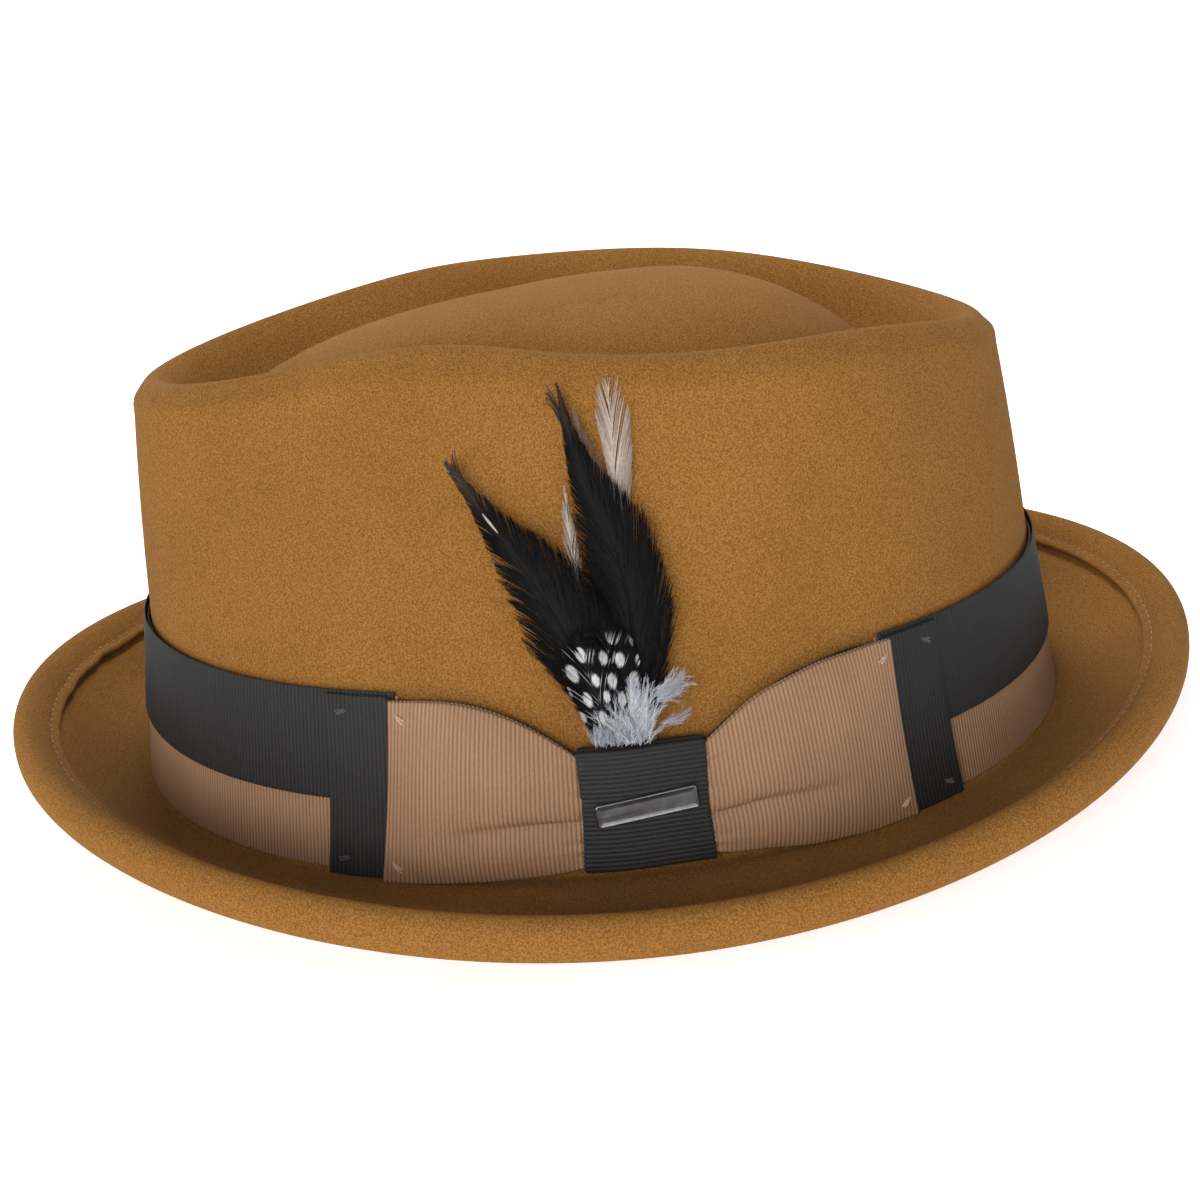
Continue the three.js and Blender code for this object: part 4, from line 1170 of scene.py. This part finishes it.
def make_stem():
    """The bound quills that slide into the pocket behind the knot."""
    across = np.linspace(-3.6, 3.6, 9)
    h = np.linspace(BASE_H - 20.6, BASE_H + 0.5, 12)
    lines = []
    for x in across:
        t = np.linspace(0, 1, 12)
        s = BASE_S + x * mix(0.72, 1.0, t) + 0.1 * np.sin(h + x)
        lines.append(np.stack([s, h, np.full(12, 0.72)], -1))
    world = to_wall(np.array(lines))
    taper = np.ones((9, 1)) * mix(0.3, 0.42, np.linspace(0, 1, 12))
    quills, faces = strands(world, taper, taper * 0.85, outwards(world), 8)
    turns = 15
    u = np.linspace(0, turns * TURN, turns * 28)
    climb = BASE_H - 9 + u / u[-1] * 7.5
    half = mix(3.35, 3.75, u / u[-1])
    binding = np.stack([BASE_S + half * np.cos(u), climb, 0.75 + 0.42 * np.sin(u)], -1)[None]
    binding_world = to_wall(binding)
    thin = np.full(binding_world.shape[:2], 0.2)
    wraps, wrap_faces = strands(binding_world, thin, thin * 0.6, outwards(binding_world), 6)
    tones = np.concatenate([np.repeat(np.tile(np.linspace(0.9, 0.3, 12), 9), 8), np.zeros(len(wraps))])
    faces = faces + [f + len(quills) for f in wrap_faces]
    points = np.concatenate([quills, wraps])
    add_piece("plume_stem", points, faces, "quill", "feather_stem", "feathers", tone=tones)


make_stem()
make_feathers()
make_bare_quill_glint()
make_down()


# ---- inside of the hat --------------------------------------------------------------------------
LINING_TIP = 68.0


def inside_grid(turn0, turn1, columns, z0, z1, rows, off, ripple, seed):
    """Points of a band of cloth or leather inside the crown, with a slight ripple."""
    a = np.linspace(math.radians(turn0), math.radians(turn1), columns)[:, None]
    z = np.linspace(z0, z1, rows)[None]
    return place(a, wall_radius(a, z) - off + ripple * wander(a, (9, 21), seed) * (z - z0) / (z1 - z0), z)


def make_sweatband():
    columns, rows = 361, 26
    start, end = 180.25, 539.75
    height = SWEAT_TOP - SWEAT_BOTTOM
    outer = inside_grid(start, end, columns, SWEAT_BOTTOM, SWEAT_TOP, rows, SWEAT_OFF, 0.0, 0)
    v = np.linspace(0, 1, rows)
    roll = 0.3 * np.maximum(1 - (v / 0.03) ** 2, 0) ** 0.5
    roll = roll + 0.35 * np.maximum(1 - ((1 - v) / 0.02) ** 2, 0) ** 0.5
    a = np.linspace(math.radians(start), math.radians(end), columns)
    sink = 0.25 * np.exp(-(((v * height - SWEAT_SEAM + SWEAT_BOTTOM) / 0.5) ** 2))
    inward = LEATHER - roll[None] - sink[None] + 0.25 * wander(a, (11, 27), 41)[:, None] * v[None] ** 2
    inner = outer - facing(a)[:, None] * inward[..., None]
    points, faces = shell(outer, inner)
    piece = add_piece("sweatband_leather_band", points, faces, "leather", "sweatband")


def make_sweatband_stitches():
    """A zigzag row of stitches round the sweatband."""
    count = 300
    a = once_round(count)
    way = np.where(np.arange(count) % 2, 1, -1)
    z = SWEAT_SEAM + 0.35 * way
    centres = place(a, wall_radius(a, z) - SWEAT_OFF - LEATHER + 0.12, z)
    ahead = unit(np.cross([0, 0, 1.0], facing(a)) + np.array([0, 0, 0.3]) * way[:, None])
    stitches("sweatband_stitch_row", centres, ahead, -facing(a), 1.9, 0.36,
             "thread_dark", "sweatband_stitching", 0.3)


def make_back_tape():
    middle = math.pi
    reach = base_radius(middle)
    width = 2 * math.radians(5.5) * (reach - SWEAT_OFF)
    off = SWEAT_OFF + LEATHER + 0.5
    low = 7.6

    def lay(u, v):
        a = middle + (v - width / 2) / (reach - SWEAT_OFF)
        return place(a, wall_radius(a, low + u) - off, low + u)

    long = SWEAT_TOP - 4 - low
    piece = ribbon("sweatband_back_ribbon", lay, long, width, DARK_PITCH, "tape",
                   "sweatband_back_tape", inner=7, thick=0.26, rib=0.12)


def make_label():
    """A blank woven size label, lifting a little at its lower edge."""
    columns, rows = 41, 41
    start, end = 160, 168
    off = SWEAT_OFF + LEATHER + 0.5
    grid = inside_grid(start, end, columns, SWEAT_TOP - 19, SWEAT_TOP - 6, rows, off, 0.0, 0)
    u, v = np.meshgrid(np.linspace(0, 1, columns), np.linspace(0, 1, rows), indexing="ij")
    lift = 0.8 * np.clip(1 - v / 0.25, 0, 1) ** 2 * (0.5 + 0.5 * u)
    a = np.linspace(math.radians(start), math.radians(end), columns)
    inward = facing(a)[:, None]
    hem = 0.12 * ((np.abs(u - 0.5) > 0.46) | (np.abs(v - 0.5) > 0.46))
    outer = grid - inward * lift[..., None]
    inner = outer - inward * (0.22 + hem)[..., None]
    points, faces = shell(outer, inner)
    wide = np.linalg.norm(grid[0, 0] - grid[-1, 0])
    uv = np.stack([u * wide, v * 13], -1)
    piece = add_piece("size_label_blank", points, faces, "label", "size_label",
                      uv=np.stack([uv, uv]))


def make_lining():
    """The satin lining's side, gathered towards its top."""
    columns, rows = 1200, 22
    a = once_round(columns)
    v = np.linspace(0, 1, rows)
    z = mix(SWEAT_TOP - 12, LINING_TIP - 1.4, v)[None]
    pleat = np.abs(np.sin(a * 75 + 0.9 * wander(a, (7, 19), 51))) ** 0.6
    pleat = pleat * (0.8 + 0.2 * wander(a, (30, 70), 52))
    gather = ease((v - 0.25) / 0.75)[None]
    reach = wall_radius(a[:, None], z) - LINING_OFF - 0.05 - gather * (0.15 + 1.5 * pleat[:, None])
    outer = place(a[:, None], reach, z)
    inner = outer - facing(a)[:, None] * 0.3
    points, faces = shell(outer, inner, True)
    side = add_piece("lining_side_satin", points, faces, "lining", "lining_side")


def make_lining_tip():
    """The lining's domed top panel: rings round its middle, closed by a small face on each side."""
    columns = 300
    a = once_round(columns)
    edge = wall_radius(a, LINING_TIP) - FELT - 2.1
    shares = np.concatenate([[0.01], np.linspace(0.05, 1, 42)])
    rows = []
    for f in shares:
        seam = -0.8 * np.exp(-(((f - 0.8) / 0.012) ** 2))
        pucker = 0.28 * np.sin(a * 60 + 2 * wander(a, (5, 13), 61)) * np.exp(-(((f - 1.0) / 0.09) ** 2))
        sag = 0.35 * np.sin(f * 7 + 2) * np.sin(2 * a + 1.0)
        rows.append(place(a, edge * f, LINING_TIP + 6 * (1 - f * f) + seam * 0.5 + pucker + sag * (1 - f)))
    outer = np.stack(rows, 1)
    inner = outer - np.array([0, 0, 0.3])
    points, faces = shell(outer, inner, True)
    ids = np.arange(columns) * len(shares)
    beneath = ids + columns * len(shares)
    walls = faces[0][~np.isin(faces[0], [ids, beneath]).all(1)]
    faces = [walls, ids[None, ::-1], beneath[None]]
    tip = add_piece("lining_top_satin", points, faces, "lining", "lining_tip")


def ring_cord(name, z, off, radius, strands_in, turns, slot, node):
    """A cord round the inside of the crown, plain or laid up from twisted strands."""
    count = 1500
    a = once_round(count)
    lines = []
    for k in range(strands_in):
        twist = a * turns + TURN * k / strands_in
        wide = radius * 0.5 if strands_in > 1 else 0.0
        r = wall_radius(a, z) - off + wide * np.cos(twist)
        lines.append(place(a, r, z + wide * np.sin(twist)))
    paths = np.array(lines)
    thin = np.full(paths.shape[:2], radius * (0.55 if strands_in > 1 else 1.0))
    points, _ = strands(paths, thin, thin, np.broadcast_to([0, 0, 1.0], paths.shape), 6)
    ids = np.arange(len(points)).reshape(strands_in, count, 6)
    after = np.roll(ids, -1, 1)
    beside = np.roll(ids, -1, 2)
    walls = np.stack([ids, beside, np.roll(after, -1, 2), after], -1).reshape(-1, 4)
    add_piece(name, points, [walls], slot, node)


make_sweatband()
make_sweatband_stitches()
make_back_tape()
make_label()
make_lining()
make_lining_tip()
ring_cord("sweatband_reed_cord", 3.2, FELT + 1.4, 0.55, 1, 0, "reed", "sweatband_reed")
ring_cord("lining_seam_cord", LINING_TIP - 0.75, FELT + 1.5, 0.6, 2, 150, "piping", "lining_piping")


# ---- floor, light and camera --------------------------------------------------------------------
FLOOR_SIDES = 72
FLOOR_DROP = 0.0004    # the floor lies this much under the hat, in metres


def make_sweep():
    """A pale round floor that curves up far from the hat, highest behind it."""
    turn = np.linspace(0, TURN, FLOOR_SIDES + 1)[:-1]
    reach = [0.005, 0.4, 1.0, 2.0, 2.6, 3.1, 3.45, 3.65, 3.75, 3.78]
    climb = [0, 0, 0, 0, 0.02, 0.1, 0.25, 0.45, 0.75, 1.05]
    line = flow(np.stack([reach, climb], -1)[None], 4)[0]
    behind = 1 + 2.6 * ease((-np.sin(turn) - 0.3) / 0.5)
    r = line[None, :, 0] * np.ones((FLOOR_SIDES, 1))
    z = line[None, :, 1] * behind[:, None]
    points = np.stack([r * np.sin(turn)[:, None], -r * np.cos(turn)[:, None], z - FLOOR_DROP], -1)
    mesh = bpy.data.meshes.new("floor")
    faces = grid_faces(FLOOR_SIDES, len(line), True).tolist()
    faces.append([k * len(line) for k in range(FLOOR_SIDES)])
    mesh.from_pydata(points.reshape(-1, 3).tolist(), [], faces)
    mesh.polygons.foreach_set("use_smooth", [True] * len(mesh.polygons))
    material, tree, shader = new_material("floor_paper", Roughness=0.9, Emission_Strength=0.62)
    shader.inputs["Emission Color"].default_value = (1, 1, 1, 1)
    tone = noise(tree, place_of(tree), 3, 2)
    paint(tree, shader, tone, colour(246, 246, 246), colour(250, 250, 250))
    mesh.materials.append(material)
    floor = bpy.data.objects.new("floor", mesh)
    bpy.context.scene.collection.objects.link(floor)


def make_light(name, place_at, look_at, size, power):
    lamp = bpy.data.lights.new(name, "AREA")
    lamp.shape = "DISK"
    lamp.size = size
    lamp.energy = power
    light = bpy.data.objects.new(name, lamp)
    light.location = place_at
    light.rotation_euler = (Vector(look_at) - Vector(place_at)).to_track_quat("-Z", "Y").to_euler()
    bpy.context.scene.collection.objects.link(light)


def make_world(tint, strength):
    world = bpy.data.worlds.new("studio")
    world.use_nodes = True
    sky = world.node_tree.nodes["Background"]
    sky.inputs["Color"].default_value = tint
    sky.inputs["Strength"].default_value = strength
    bpy.context.scene.world = world


def make_camera():
    """Low three-quarter view of the bow's side, turned slightly about the line of sight."""
    azimuth, elevation, turn = math.radians(83.45), math.radians(15.42), math.radians(-4.86)
    distance = 0.393
    aim = Vector((0, 0, 0.056))
    flat = math.cos(elevation)
    back = Vector((math.sin(azimuth) * flat, -math.cos(azimuth) * flat, math.sin(elevation)))
    right = Vector((math.cos(azimuth), math.sin(azimuth), 0))
    up = back.cross(right)
    axis_x = right * math.cos(turn) + up * math.sin(turn)
    axis_y = up * math.cos(turn) - right * math.sin(turn)
    lens = bpy.data.cameras.new("camera")
    lens.sensor_width = 36
    lens.lens = 51.4
    lens.shift_x = 0.0103
    lens.shift_y = -0.105
    lens.clip_start = 0.02
    camera = bpy.data.objects.new("camera", lens)
    spin = Matrix((axis_x, axis_y, back)).transposed().to_4x4()
    camera.matrix_world = Matrix.Translation(aim + back * distance) @ spin
    bpy.context.scene.collection.objects.link(camera)
    bpy.context.scene.camera = camera


make_sweep()
make_light("key", (1.32, -0.55, 0.5), (0, 0, 0.05), size=0.8, power=13.6)
make_light("back", (-1.35, -0.1, 0.75), (0, 0, 0.08), size=0.6, power=6)
make_light("top", (-0.14, 0.02, 0.46), (0, 0.01, 0.09), size=0.16, power=0.9)
make_world((0.82, 0.96, 1.25, 1), 0.2)
make_camera()
bpy.context.scene.view_settings.view_transform = "Standard"
